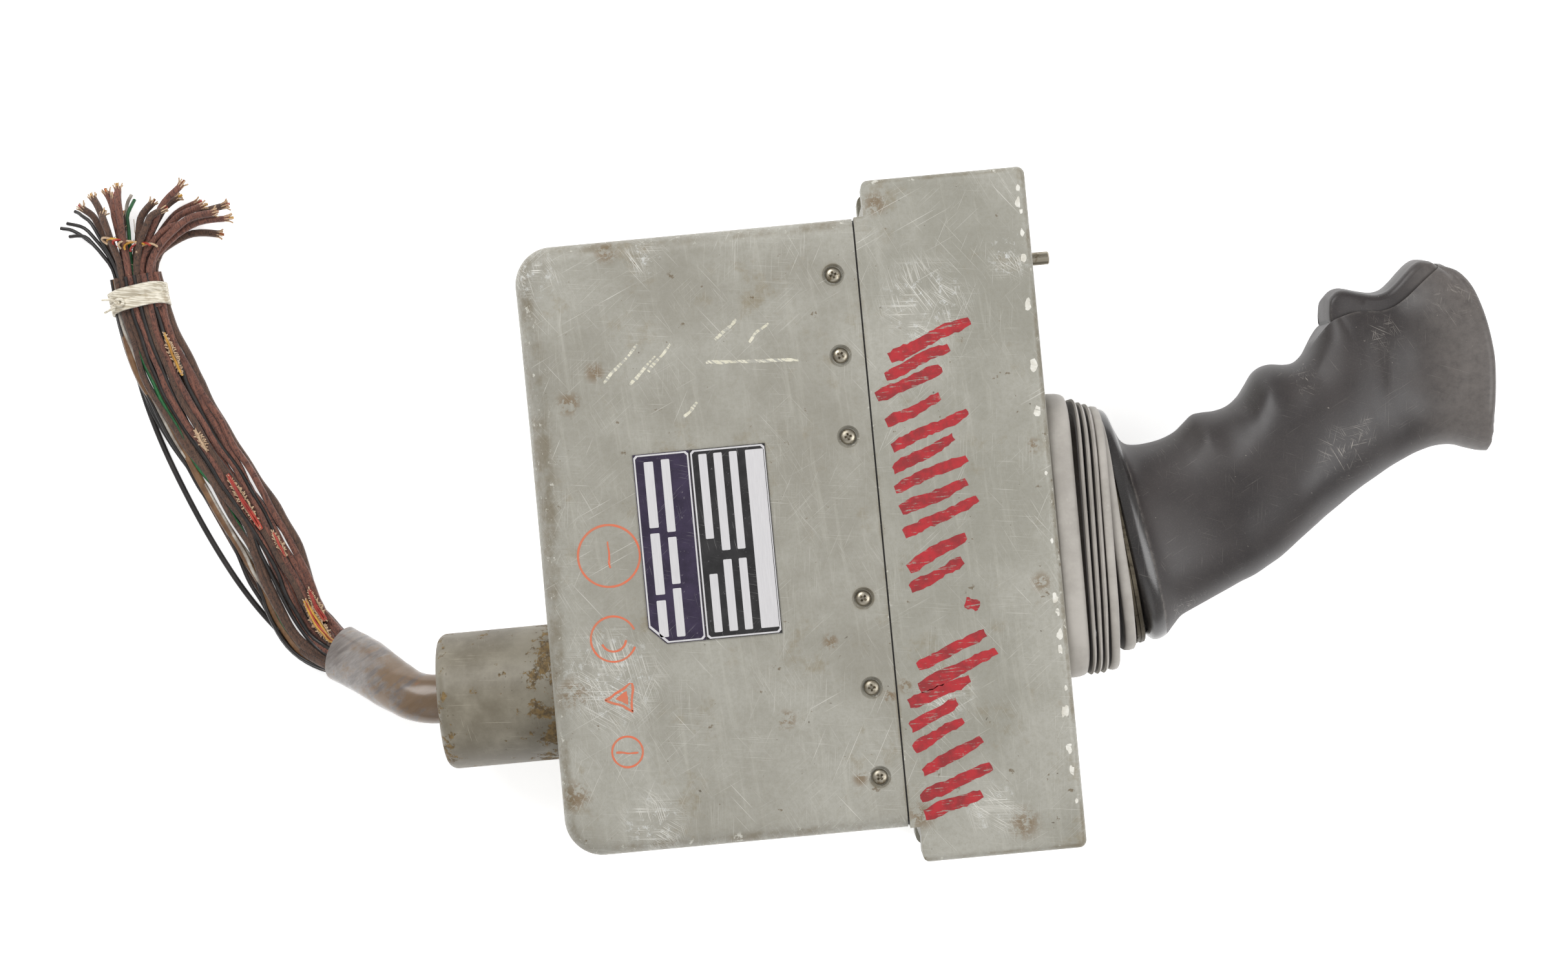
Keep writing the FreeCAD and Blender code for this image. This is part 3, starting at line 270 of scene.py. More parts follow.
class Paint:
    """A material's nodes, each made by a short call that gives back its output."""

    def __init__(self, name, **sockets):
        self.material = bpy.data.materials.new(name)
        self.material.use_nodes = True
        self.tree = self.material.node_tree
        self.shader = self.tree.nodes["Principled BSDF"]
        for socket, value in sockets.items():
            self.shader.inputs[socket.replace("_", " ")].default_value = value
        place = self.tree.nodes.new("ShaderNodeTexCoord").outputs["Object"]
        self.place = self.node("VectorMath", {0: place, 1: (1000, 1000, 1000)}, operation="MULTIPLY")

    def node(self, kind, inputs, output=0, **settings):
        made = self.tree.nodes.new("ShaderNode" + kind)
        for name, value in settings.items():
            setattr(made, name, value)
        for name, value in inputs.items():
            if isinstance(value, bpy.types.NodeSocket):
                self.tree.links.new(value, made.inputs[name])
            else:
                made.inputs[name].default_value = value
        return made.outputs[output]

    def noise(self, size, detail=3.0, rough=0.55, place=None, bend=0.0):
        """Noise whose features are about a size in millimetres."""
        inputs = {"Vector": place or self.place, "Scale": 1.0 / size, "Detail": detail,
                  "Roughness": rough, "Distortion": bend}
        return self.node("TexNoise", inputs)

    def stretched(self, angle, long, fine, shift=0.0):
        """A place for noise drawn out along one direction of the XY plane."""
        turned = self.node("Mapping", {"Vector": self.place, "Location": (shift, shift, 0),
                                       "Rotation": (0, 0, math.radians(angle))})
        return self.node("VectorMath", {0: turned, 1: (1 / long, 1 / fine, 4 / long)}, operation="MULTIPLY")

    def step(self, value, low, high):
        """0 below low, 1 above high."""
        return self.node("MapRange", {0: value, 1: low, 2: high}, interpolation_type="SMOOTHSTEP")

    def maths(self, operation, first, second):
        return self.node("Math", {0: first, 1: second}, operation=operation)

    def times(self, first, second):
        return self.maths("MULTIPLY", first, second)

    def blend(self, share, first, second):
        """A colour between two colours."""
        inputs = {0: share, 6: first, 7: second}
        return self.node("Mix", inputs, output=2, data_type="RGBA", clamp_factor=True)

    def patches(self, size, detail, rough, low, high):
        """Cloudy patches: 0 where the noise is below low, 1 where it is above high."""
        return self.step(self.noise(size, detail, rough), low, high)

    def over(self, where, amount, colour, top):
        """A colour with an amount of another over it, where asked."""
        return self.blend(self.times(where, amount), colour, linear(*top))

    def axis(self, name):
        split = self.tree.nodes.new("ShaderNodeSeparateXYZ")
        self.tree.links.new(self.place, split.inputs[0])
        return split.outputs[name]

    def edges(self, radius, low=0.02, high=0.12):
        """Where the surface turns a corner within a radius in millimetres."""
        soft = self.node("Bevel", {"Radius": radius * MM}, samples=6)
        flat = self.tree.nodes.new("ShaderNodeNewGeometry").outputs["Normal"]
        near = self.node("VectorMath", {0: soft, 1: flat}, output="Value", operation="DOT_PRODUCT")
        return self.step(self.maths("SUBTRACT", 1.0, near), low, high)

    def corners(self, low=0.01, high=0.16):
        """Where the surface faces between the axes, as it does on rounded edges."""
        facing = self.tree.nodes.new("ShaderNodeNewGeometry").outputs["Normal"]
        facing = self.node("VectorMath", {0: facing}, operation="ABSOLUTE")
        split = self.tree.nodes.new("ShaderNodeSeparateXYZ")
        self.tree.links.new(facing, split.inputs[0])
        most = self.maths("MAXIMUM", split.outputs[0], split.outputs[1])
        most = self.maths("MAXIMUM", most, split.outputs[2])
        return self.step(self.maths("SUBTRACT", 1.0, most), low, high)

    def near(self, spots):
        """1 at the middle of each spot (x, y, radius), 0 beyond it, at any height."""
        flat = self.node("VectorMath", {0: self.place, 1: (1, 1, 0)}, operation="MULTIPLY")
        total = None
        for x, y, radius in spots:
            away = self.node("VectorMath", {0: flat, 1: (x, y, 0)}, output="Value", operation="DISTANCE")
            close = self.maths("SUBTRACT", 1.0, self.step(away, 0.15 * radius, radius))
            total = close if total is None else self.maths("MAXIMUM", total, close)
        return total

    def scratches(self, angles, fine, low, high, patch=30.0):
        """Thin lines in several directions, only in patches."""
        total = None
        for number, angle in enumerate(angles):
            lines = self.noise(1.0, 2.0, 0.5, self.stretched(angle, fine * 110, fine, 13.7 * number))
            lines = self.step(lines, low, high)
            where = self.noise(patch, 1.0, 0.5, self.stretched(angle, 1, 1, 5.1 * number))
            where = self.step(where, 0.46, 0.62)
            lines = self.times(lines, where)
            total = lines if total is None else self.maths("MAXIMUM", total, lines)
        return total

    def finish(self, colour=None, rough=None, height=None, strength=0.3, distance=0.1):
        if colour is not None:
            self.tree.links.new(colour, self.shader.inputs["Base Color"])
        if rough is not None:
            self.tree.links.new(rough, self.shader.inputs["Roughness"])
        if height is not None:
            bump = self.node("Bump", {"Height": height, "Strength": strength, "Distance": distance * MM})
            self.tree.links.new(bump, self.shader.inputs["Normal"])
        return self.material


def linear(red, green, blue):
    """A colour given as 0 to 255 on a screen, as the shader wants it."""
    def one(value):
        value /= 255
        return value / 12.92 if value <= 0.04045 else ((value + 0.055) / 1.055) ** 2.4

    return (one(red), one(green), one(blue), 1.0)


def grey_paint(name, light, dark, rubbed, stains):
    """Old satin paint on metal: clouded, stained, scratched and worn along its edges."""
    paint = Paint(name, IOR=1.45)
    cloud = paint.patches(48, 6, 0.62, 0.36, 0.66)
    colour = paint.blend(cloud, dark, light)
    speck = paint.patches(1.3, 3, 0.7, 0.3, 0.75)
    colour = paint.over(speck, 0.3, colour, (120, 116, 100))
    rub = paint.step(paint.noise(1.0, 4, 0.7, paint.stretched(86, 40, 2.5)), 0.5, 0.75)
    colour = paint.over(rub, 0.3, colour, (178, 176, 166))
    grime = paint.times(paint.patches(19, 7, 0.75, 0.55, 0.74), 0.55)
    colour = paint.blend(grime, colour, linear(120, 106, 76))
    spots = paint.patches(5.6, 4, 0.62, 0.68, 0.72)
    colour = paint.over(spots, 0.7, colour, (92, 74, 46))
    rust = paint.times(paint.near(stains), paint.patches(2.8, 5, 0.7, 0.44, 0.54))
    colour = paint.over(rust, 0.75, colour, (110, 88, 58))
    pin = paint.patches(1.9, 2, 0.5, 0.765, 0.79)
    colour = paint.over(pin, 0.7, colour, (70, 58, 40))
    fine = paint.scratches((8, 64, -38, 97), 0.2, 0.64, 0.72)
    bold = paint.scratches((-24, 52, 118), 0.34, 0.69, 0.75, patch=48)
    worn = paint.near(rubbed)
    scuffs = paint.times(paint.scratches((58, 35, 78, 4), 0.3, 0.54, 0.66, patch=9), worn)
    lines = paint.maths("MAXIMUM", paint.times(fine, 0.5), paint.times(bold, 0.8))
    lines = paint.maths("MAXIMUM", lines, scuffs)
    colour = paint.blend(lines, colour, linear(208, 206, 198))
    rim = paint.maths("MAXIMUM", paint.corners(), paint.edges(2.0))
    dirt = paint.times(rim, paint.patches(15, 6, 0.7, 0.4, 0.66))
    colour = paint.over(dirt, 0.62, colour, (106, 94, 70))
    bare = paint.times(rim, paint.patches(3.6, 5, 0.75, 0.6, 0.66))
    colour = paint.over(bare, 0.8, colour, (204, 202, 192))
    flaked = paint.times(worn, paint.patches(2.6, 6, 0.8, 0.55, 0.62))
    colour = paint.over(flaked, 0.75, colour, (198, 199, 196))
    rough = paint.node("MapRange", {0: speck, 3: 0.4, 4: 0.58})
    height = paint.maths("SUBTRACT", paint.times(speck, 0.6), lines)
    return paint.finish(colour, rough, height, 0.22, 0.12)


def boss_paint():
    """The case paint with brown corrosion at both ends of the boss."""
    paint = Paint("boss_paint")
    cloud = paint.patches(22, 6, 0.65, 0.35, 0.68)
    colour = paint.blend(cloud, linear(104, 97, 82), linear(134, 128, 113))
    x = paint.axis("X")
    near_cover = paint.step(x, -105.0, -93.0)
    near_rim = paint.times(paint.step(paint.maths("SUBTRACT", -126.0, x), 0.0, 7.0), 0.55)
    ends = paint.maths("MAXIMUM", near_cover, near_rim)
    rot = paint.maths("ADD", paint.noise(6.5, 6, 0.74), paint.times(ends, 0.17))
    patches = paint.step(rot, 0.61, 0.66)
    rust = paint.blend(paint.patches(1.8, 4, 0.7, 0.35, 0.65), linear(74, 58, 34), linear(124, 100, 58))
    colour = paint.blend(paint.times(patches, 0.9), colour, rust)
    pits = paint.patches(2.4, 3, 0.6, 0.7, 0.74)
    colour = paint.over(pits, 0.7, colour, (62, 52, 34))
    lines = paint.times(paint.scratches((4, 80), 0.2, 0.68, 0.75), 0.6)
    colour = paint.blend(lines, colour, linear(196, 190, 172))
    rough = paint.node("MapRange", {0: patches, 3: 0.48, 4: 0.8})
    height = paint.maths("ADD", paint.times(patches, -0.7), paint.times(paint.noise(1.0, 4), 0.5))
    return paint.finish(colour, rough, height, 0.4, 0.2)


def dark_plastic(name, light, dark, rough_low, rough_high, shine=0.0, rubbed=(), pale=None):
    """The grip's moulded plastic: satin, with fine specks, rubbed scuffs, and a head made paler by dust and
    by a painted highlight.
    """
    paint = Paint(name, IOR=1.5, Coat_Weight=shine, Coat_Roughness=0.25)
    cloud = paint.patches(30, 4, 0.6, 0.32, 0.7)
    colour = paint.blend(cloud, dark, light)
    grain = paint.noise(0.45, 2, 0.6)
    colour = paint.blend(paint.times(paint.step(grain, 0.45, 0.75), 0.2), colour, linear(84, 78, 75))
    if pale:
        # Painted highlight, with dust: toward the head end the colour pales in mottled patches, standing in
        # for light on the head's rim.
        toward = paint.step(paint.axis("X"), 218.0, 246.0)
        dust_and_highlight = paint.patches(3.0, 5, 0.7, -0.2, 0.8)
        colour = paint.blend(paint.times(toward, paint.times(dust_and_highlight, 0.8)), colour, pale)
    specks = paint.patches(1.7, 2, 0.5, 0.75, 0.775)
    colour = paint.over(specks, 0.5, colour, (150, 142, 134))
    lines = paint.times(paint.scratches((-28, 22, 95, 62), 0.15, 0.69, 0.75, patch=18), 0.35)
    if rubbed:
        scuffs = paint.scratches((-8, 30, 62, 108), 0.2, 0.63, 0.7, patch=6)
        lines = paint.maths("MAXIMUM", lines, paint.times(scuffs, paint.near(rubbed)))
    colour = paint.blend(lines, colour, linear(160, 154, 146))
    rim = paint.times(paint.edges(2.4, 0.03, 0.25), paint.patches(4, 5, 0.75, 0.35, 0.6))
    colour = paint.over(rim, 0.4, colour, (132, 126, 120))
    rough = paint.node("MapRange", {0: cloud, 3: rough_low, 4: rough_high})
    return paint.finish(colour, rough, paint.maths("SUBTRACT", grain, lines), 0.12, 0.06)


def rubber(name, light, dark, rough=0.62):
    """Matt rubber with a faint bloom and dust."""
    paint = Paint(name, Roughness=rough, Sheen_Weight=0.15, Sheen_Roughness=0.5)
    colour = paint.blend(paint.patches(18, 5, 0.65, 0.3, 0.7), dark, light)
    dust = paint.patches(2.6, 5, 0.75, 0.58, 0.78)
    colour = paint.over(dust, 0.3, colour, (196, 192, 182))
    return paint.finish(colour, None, paint.noise(0.7, 3), 0.15, 0.08)


def metal(name, light, dark, rough_low=0.25, rough_high=0.45, grain=(0, 14, 0.5), tarnish=None):
    """Machined metal with a directional grain and, if asked, tarnished patches."""
    paint = Paint(name, Metallic=1.0)
    angle, long, fine = grain
    brushed = paint.noise(1.0, 3, 0.6, paint.stretched(angle, long, fine))
    colour = paint.blend(brushed, dark, light)
    rough = paint.node("MapRange", {0: paint.noise(6, 4), 1: 0.3, 2: 0.7, 3: rough_low, 4: rough_high})
    if tarnish:
        patches = paint.patches(3.5, 5, 0.7, 0.5, 0.66)
        colour = paint.blend(paint.times(patches, 0.85), colour, tarnish)
        rough = paint.maths("ADD", rough, paint.times(patches, 0.25))
    return paint.finish(colour, rough, brushed, 0.1, 0.05)


def moulded(name, light, dark, rough=0.45):
    paint = Paint(name, Roughness=rough)
    colour = paint.blend(paint.patches(9, 5, 0.6, 0.3, 0.7), dark, light)
    return paint.finish(colour, None, paint.noise(0.5, 2), 0.15, 0.05)


def braid(name, light, dark, fleck, size=0.9, rough=0.75):
    """A braided jacket: two crossing sets of threads and some pale flecks."""
    paint = Paint(name, Roughness=rough, Sheen_Weight=0.2)
    ways = []
    for angle in (52, -52):
        place = paint.stretched(angle + 25, size * 3.0, size * 0.55)
        ways.append(paint.step(paint.noise(1.0, 1, 0.5, place), 0.35, 0.65))
    weave = paint.maths("MAXIMUM", paint.times(ways[0], 0.9), paint.times(ways[1], 0.7))
    colour = paint.blend(weave, dark, light)
    worn = paint.times(paint.patches(14, 4, 0.65, 0.5, 0.75), 0.6)
    colour = paint.blend(worn, colour, dark)
    flecks = paint.patches(1.1, 3, 0.7, 0.68, 0.76)
    colour = paint.blend(paint.times(flecks, 0.55), colour, fleck)
    return paint.finish(colour, None, weave, 0.5, 0.25)


def jacket(name, light, dark, rough=0.4):
    """A smooth wire jacket with smudges."""
    paint = Paint(name, Roughness=rough)
    colour = paint.blend(paint.patches(7, 5, 0.7, 0.35, 0.7), dark, light)
    return paint.finish(colour, None, paint.noise(0.8, 3), 0.2, 0.06)


def tubing():
    """Cloudy grey tubing, stained brown toward the boss."""
    paint = Paint("cloudy_tubing", Roughness=0.3, Coat_Weight=0.35, Coat_Roughness=0.15,
                  Transmission_Weight=0.12, IOR=1.45)
    lengthwise = paint.noise(1.0, 4, 0.65, paint.stretched(-30, 26, 2.6))
    colour = paint.blend(paint.step(lengthwise, 0.3, 0.7), linear(104, 96, 92), linear(148, 142, 137))
    toward = paint.step(paint.axis("X"), -172.0, -140.0)
    stain = paint.maths("ADD", paint.times(lengthwise, 0.5), paint.times(paint.noise(7, 6, 0.72), 0.5))
    stain = paint.step(paint.maths("ADD", stain, paint.times(toward, 0.16)), 0.5, 0.66)
    colour = paint.over(stain, 0.8, colour, (118, 92, 62))
    orange = paint.step(paint.noise(1.0, 5, 0.7, paint.stretched(-30, 9, 2.4, 31.0)), 0.6, 0.7)
    colour = paint.over(orange, 0.5, colour, (146, 96, 62))
    return paint.finish(colour, None, paint.noise(4.0, 4, 0.6), 0.25, 0.3)


def woven_tape():
    paint = Paint("woven_tape", Roughness=0.85, Sheen_Weight=0.3)
    threads = paint.noise(1.0, 2, 0.5, paint.stretched(10, 6, 0.55))
    colour = paint.blend(paint.step(threads, 0.35, 0.65), linear(176, 166, 146), linear(228, 222, 206))
    smudge = paint.patches(5, 5, 0.7, 0.5, 0.72)
    colour = paint.over(smudge, 0.5, colour, (150, 130, 98))
    return paint.finish(colour, None, threads, 0.6, 0.3)


def brushed_on(name, full, thin, under, cover=0.42, direction=0):
    """Paint or chalk that a dry brush or stick left on the case, streaked along its strokes."""
    paint = Paint(name, Roughness=0.5)
    streak = paint.noise(1.0, 4, 0.7, paint.stretched(direction, 9, 0.7))
    colour = paint.blend(paint.patches(5, 4, 0.65, 0.35, 0.65), thin, full)
    gaps = paint.step(paint.maths("ADD", streak, paint.times(paint.noise(2.0, 4, 0.7), 0.4)), cover + 0.36,
                      cover + 0.46)
    colour = paint.blend(gaps, colour, under)
    return paint.finish(colour, None, streak, 0.3, 0.12)


def plate_face(name, dark, light):
    """An anodised plate: near black, rubbed and specked."""
    paint = Paint(name, Roughness=0.38, Metallic=0.25)
    colour = paint.blend(paint.patches(8, 5, 0.65, 0.35, 0.7), dark, light)
    rubbed = paint.times(paint.patches(1.4, 4, 0.75, 0.63, 0.72), 0.55)
    colour = paint.blend(rubbed, colour, linear(150, 146, 150))
    lines = paint.times(paint.scratches((15, 80, -40), 0.14, 0.69, 0.75, patch=12), 0.7)
    colour = paint.blend(lines, colour, linear(190, 188, 186))
    return paint.finish(colour, None, paint.noise(1.5, 3), 0.1, 0.05)


def plate_silver():
    """The bare fields of a plate: pale brushed metal under clear lacquer, a little specked."""
    paint = Paint("plate_silver", Metallic=0.35, Roughness=0.36)
    brushed = paint.noise(1.0, 3, 0.6, paint.stretched(90, 5, 0.3))
    colour = paint.blend(brushed, linear(200, 198, 200), linear(226, 224, 225))
    specks = paint.patches(1.3, 4, 0.75, 0.66, 0.74)
    colour = paint.over(specks, 0.5, colour, (146, 138, 134))
    return paint.finish(colour, None, brushed, 0.1, 0.04)


GREY = linear(160, 158, 149)
GREY_DARK = linear(141, 138, 128)
CASE = grey_paint("case_paint_worn", GREY, GREY_DARK,
                  ((-70, -46, 26), (-84, 98, 13), (-45, 101, 9), (-60, -98, 16)),
                  ((-10, -66, 5), (8, -40, 4), (-76, 52, 6), (-84, -50, 8), (-87, -86, 8), (27, -61, 4),
                   (-66, 62, 5), (-58, 104, 6), (14, -89, 4), (20, 31, 3)))
HOUSING = grey_paint("housing_paint_worn", linear(162, 160, 151), linear(143, 141, 131),
                     ((52, 76, 22), (47, -62, 14), (84, 90, 12), (60, -104, 14)),
                     ((33, -58, 4), (34, -104, 7), (84, -26, 5), (85, 22, 4), (38, 112, 6), (70, -110, 8)))
BOSS = boss_paint()
GRIP = dark_plastic("grip_plastic", linear(54, 49, 48), linear(42, 38, 38), 0.4, 0.52,
                    rubbed=((197, 9, 13), (187, 36, 7), (216, 51, 10), (243, 60, 12), (137, -42, 8),
                            (206, 16, 8)),
                    pale=linear(106, 100, 96))
RING = dark_plastic("ring_plastic", linear(42, 39, 38), linear(28, 26, 26), 0.22, 0.34, 0.5)
BOOT = rubber("boot_rubber_bloom", linear(172, 167, 160), linear(150, 145, 138))
# Painted shade: a darker, brownish grey rubber for the faces deep in the boot's valleys and on its inner
# wall, where shade falls.
BOOT_VALLEY_SHADE = rubber("boot_rubber_valley_shade", linear(98, 91, 84), linear(70, 64, 58))
GASKET = rubber("gasket_rubber_dark", linear(40, 38, 34), linear(24, 23, 21))
NICKEL = metal("nickel_dull", linear(186, 180, 166), linear(140, 132, 116), 0.28, 0.5,
               tarnish=linear(104, 90, 66))
BRASS = metal("brass_tarnished", linear(88, 82, 71), linear(62, 57, 48), 0.42, 0.6,
              tarnish=linear(44, 39, 31))
ALLOY = metal("machined_alloy", linear(196, 197, 200), linear(158, 160, 164), grain=(90, 18, 0.4))
STEEL = metal("ground_steel", linear(178, 178, 180), linear(134, 134, 138), grain=(0, 10, 0.3))
CAN = metal("canister_satin", linear(156, 150, 134), linear(120, 114, 98), 0.4, 0.6)
BLACK = moulded("moulded_black", linear(52, 52, 54), linear(36, 36, 38))
PLATE_A = plate_face("plate_face_a", linear(42, 34, 54), linear(58, 48, 72))
PLATE_B = plate_face("plate_face_b", linear(34, 33, 34), linear(50, 49, 50))
SILVER = plate_silver()
TUBE = tubing()
TAPE = woven_tape()
MAROON = braid("braid_maroon", linear(124, 78, 62), linear(62, 36, 30), linear(184, 146, 120))
BROWN = braid("braid_brown", linear(96, 68, 52), linear(48, 35, 29), linear(150, 124, 100), 0.7)
TAN = jacket("jacket_tan", linear(128, 96, 66), linear(94, 66, 44))
INK = jacket("jacket_black", linear(46, 42, 40), linear(26, 23, 22))
CHALKY = jacket("jacket_grey", linear(186, 180, 170), linear(128, 118, 108), 0.55)
GREEN = jacket("jacket_green", linear(44, 110, 62), linear(24, 72, 40))
RED_CORE = jacket("core_red", linear(176, 66, 52), linear(130, 40, 34))
YELLOW_CORE = jacket("core_yellow", linear(206, 158, 62), linear(160, 112, 40))
FRAY = braid("frayed_cotton", linear(208, 184, 152), linear(158, 120, 90), linear(226, 208, 184), 0.4, 0.9)
COPPER = metal("copper_ends", linear(196, 122, 78), linear(140, 78, 48), 0.35, 0.55,
               tarnish=linear(84, 58, 38))
WIRES = [MAROON, BROWN, TAN, INK, CHALKY, GREEN, RED_CORE, YELLOW_CORE, FRAY, COPPER]
RED_BRUSH = brushed_on("brushed_red", linear(168, 30, 38), linear(132, 30, 34), GREY_DARK, 0.43)
CHALK = brushed_on("chalk_marks", linear(212, 208, 190), linear(196, 192, 172), GREY, 0.3, 40)
ORANGE = brushed_on("orange_ink", linear(206, 104, 72), linear(190, 112, 84), GREY, 0.5, 70)
CHIP = brushed_on("bare_chips", linear(220, 218, 210), linear(196, 192, 180), GREY, 0.42, 20)


# ---------------------------------------------------------------- stage

def studio():
    scene = bpy.context.scene
    scene.view_settings.view_transform = "Standard"
    world = bpy.data.worlds.new("studio")
    scene.world = world
    world.use_nodes = True
    world.node_tree.nodes["Background"].inputs["Color"].default_value = (1, 1, 1, 1)
    world.node_tree.nodes["Background"].inputs["Strength"].default_value = 0.45
    camera = bpy.data.objects.new("camera", bpy.data.cameras.new("camera"))
    camera.data.sensor_width = 36
    camera.data.lens = 78.24
    camera.location = (-0.0033, 0.0152, 1.2825)
    camera.rotation_euler = (0, 0, math.radians(-5.35))
    scene.collection.objects.link(camera)
    scene.camera = camera
    for name, place, size, power in (
        ("key", (-0.5, 0.78, 0.98), 0.75, 11.0),
        ("fill", (1.0, -0.25, 1.1), 0.9, 11.0),
        ("front", (-0.2, -1.25, 0.9), 1.2, 2.6),
    ):
        lamp = bpy.data.objects.new(name, bpy.data.lights.new(name, "AREA"))
        lamp.data.size = size
        lamp.data.energy = power
        lamp.location = place
        aim = Vector((0.02, 0, 0.03)) - Vector(place)
        lamp.rotation_euler = aim.to_track_quat("-Z", "Y").to_euler()
        scene.collection.objects.link(lamp)
    floor = Paint("studio_floor", Roughness=0.95)
    pale = floor.blend(floor.step(floor.noise(900, 2), 0.3, 0.7), (0.9, 0.9, 0.9, 1), (0.93, 0.93, 0.93, 1))
    floor.shader.inputs["Emission Color"].default_value = (1, 1, 1, 1)
    floor.shader.inputs["Emission Strength"].default_value = 0.6
    reach = 6.0
    mesh = bpy.data.meshes.new("studio_floor")
    corners = [(-reach, -reach, 0), (reach, -reach, 0), (reach, reach, 0), (-reach, reach, 0)]
    mesh.from_pydata(corners, [], [(0, 1, 2, 3)])
    mesh.materials.append(floor.finish(pale))
    ground = bpy.data.objects.new("studio_floor", mesh)
    ground.location.z = -0.0004
    scene.collection.objects.link(ground)


# ---------------------------------------------------------------- cords

SLEEVE_ROUTE = (
    (-134.1, -49.2, 41.25), (-142.0, -49.2, 41.25), (-150.6, -44.4, 35.6), (-158.6, -38.9, 27.6),
    (-166.0, -34.0, 19.0), (-173.2, -30.5, 13.0),
)
BUNDLE_ROUTE = (
    (-178.96, -27.7, 8.2), (-185.8, -20.4, 6.6), (-191.2, -6.2, 6.1), (-197.4, 10.8, 6.1),
    (-206.3, 29.6, 6.1), (-215.2, 46.4, 6.1), (-223.0, 62.8, 6.1), (-230.0, 78.6, 6.3),
    (-234.0, 93.5, 7.2), (-236.8, 106.0, 7.6), (-237.6, 117.0, 7.6),
)
LOOSE_ROUTES = (
    (
        (-173.5, -37.3, 9.5), (-180.7, -33.8, 3.5), (-188.6, -29.8, 1.7), (-197.4, -20.6, 1.6),
        (-207.6, -6.6, 1.6), (-217.0, 10.6, 1.6), (-226.3, 31.4, 1.6), (-235.4, 55.8, 1.6),
        (-241.6, 80.2, 1.6), (-244.3, 103.3, 1.6),
    ),
    (
        (-178.3, -35.0, 16.5), (-185.5, -31.5, 10.5), (-192.0, -24.8, 5.6), (-197.9, -13.6, 1.7),
        (-204.6, -1.4, 1.6), (-212.0, 15.0, 1.6), (-220.6, 34.2, 1.6), (-228.4, 51.6, 1.6),
        (-234.8, 68.5, 1.6),
    ),
)
# Each strand: paint, radius, and where it lies across the bundle and above its middle, as shares
STRANDS = (
    (0, 1.45, -0.12, 0.72), (1, 1.35, 0.16, 0.78), (0, 1.35, 0.66, 0.35), (1, 1.4, 0.97, -0.15),
    (1, 1.4, -0.45, 0.55), (0, 1.4, 0.1, 0.1), (1, 1.4, 0.5, -0.3), (0, 1.35, 0.86, 0.42),
    (2, 1.6, -0.85, 0.05), (5, 0.8, -0.62, 0.42), (3, 0.75, -1.02, -0.2), (3, 0.7, -0.98, 0.25),
    (4, 0.7, -0.72, -0.3), (1, 1.3, -0.25, -0.55), (3, 0.7, -0.55, -0.7), (4, 0.7, -0.8, 0.42),
    (1, 1.3, 0.2, -0.7), (3, 0.7, 0.75, -0.6), (3, 0.75, -0.3, 0.9), (0, 1.3, 0.42, 0.82),
    (3, 0.8, 0.02, 1.0), (3, 0.75, 0.56, 0.78), (3, 0.7, -0.9, -0.5), (1, 1.1, -0.64, 0.72),
)
TIE_BEFORE_END = 9.0


def bundle_half(distance, total):
    """The bundle's half width and half height at a distance along the trunk."""
    inside = ease(distance, 44.0, 72.0)
    gather = ease(total - distance, 8.0, 40.0)
    wide = 6.4 + (10.2 - 6.4) * inside - 1.0 * (1 - gather)
    high = 3.6 + (3.1 - 3.6) * inside + 0.9 * (1 - gather)
    return wide, high


def strand_point(trunk, number, distance):
    _, radius, across, above = STRANDS[number]
    wide, high = bundle_half(distance, trunk.length)
    slow = distance / 46.0
    loose = ease(distance, 50.0, 80.0) * ease(trunk.length - distance, 10.0, 45.0)
    across += loose * 0.3 * wander(slow, seed=number + 1) + 0.14 * wander(slow * 3.1, seed=number + 40)
    above += loose * 0.5 * wander(slow * 1.3, seed=number + 80)
    _, side, up = trunk.frame(distance)
    middle = trunk.at(distance)
    point = middle + side * across * wide + up * above * high
    point.z = max(point.z, radius + 0.15)
    return point


def trunk_strands(trunk):
    shape = Shape()
    steps = 96
    for number, (paint, radius, *_) in enumerate(STRANDS):
        centres = [strand_point(trunk, number, trunk.length * step / steps) for step in range(steps + 1)]
        strand(shape, centres, radius, 7, paint)
    return shape.made("wire_trunk", WIRES, "wire_braid", "case", 60)


FAN_TIPS = (
    (-265.0, 138.0, 3), (-262.0, 139.4, 3), (-258.4, 143.4, 3), (-255.6, 144.6, 1), (-250.6, 147.6, 1),
    (-246.6, 149.6, 0), (-243.2, 147.4, 8), (-240.4, 150.2, 0), (-237.6, 147.9, 4), (-235.4, 145.8, 5),
    (-232.6, 140.6, 3), (-228.8, 143.8, 1), (-224.4, 140.6, 1), (-219.8, 145.2, 1), (-216.6, 149.6, 0),
    (-212.8, 142.8, 8), (-209.8, 141.0, 0), (-205.8, 137.6, 0), (-202.2, 140.6, 1), (-200.8, 135.2, 0),
    (-205.6, 130.2, 1), (-261.4, 134.4, 3), (-247.4, 141.0, 1), (-240.4, 140.4, 1), (-214.4, 134.4, 0),
    (-208.6, 137.6, 2),
)


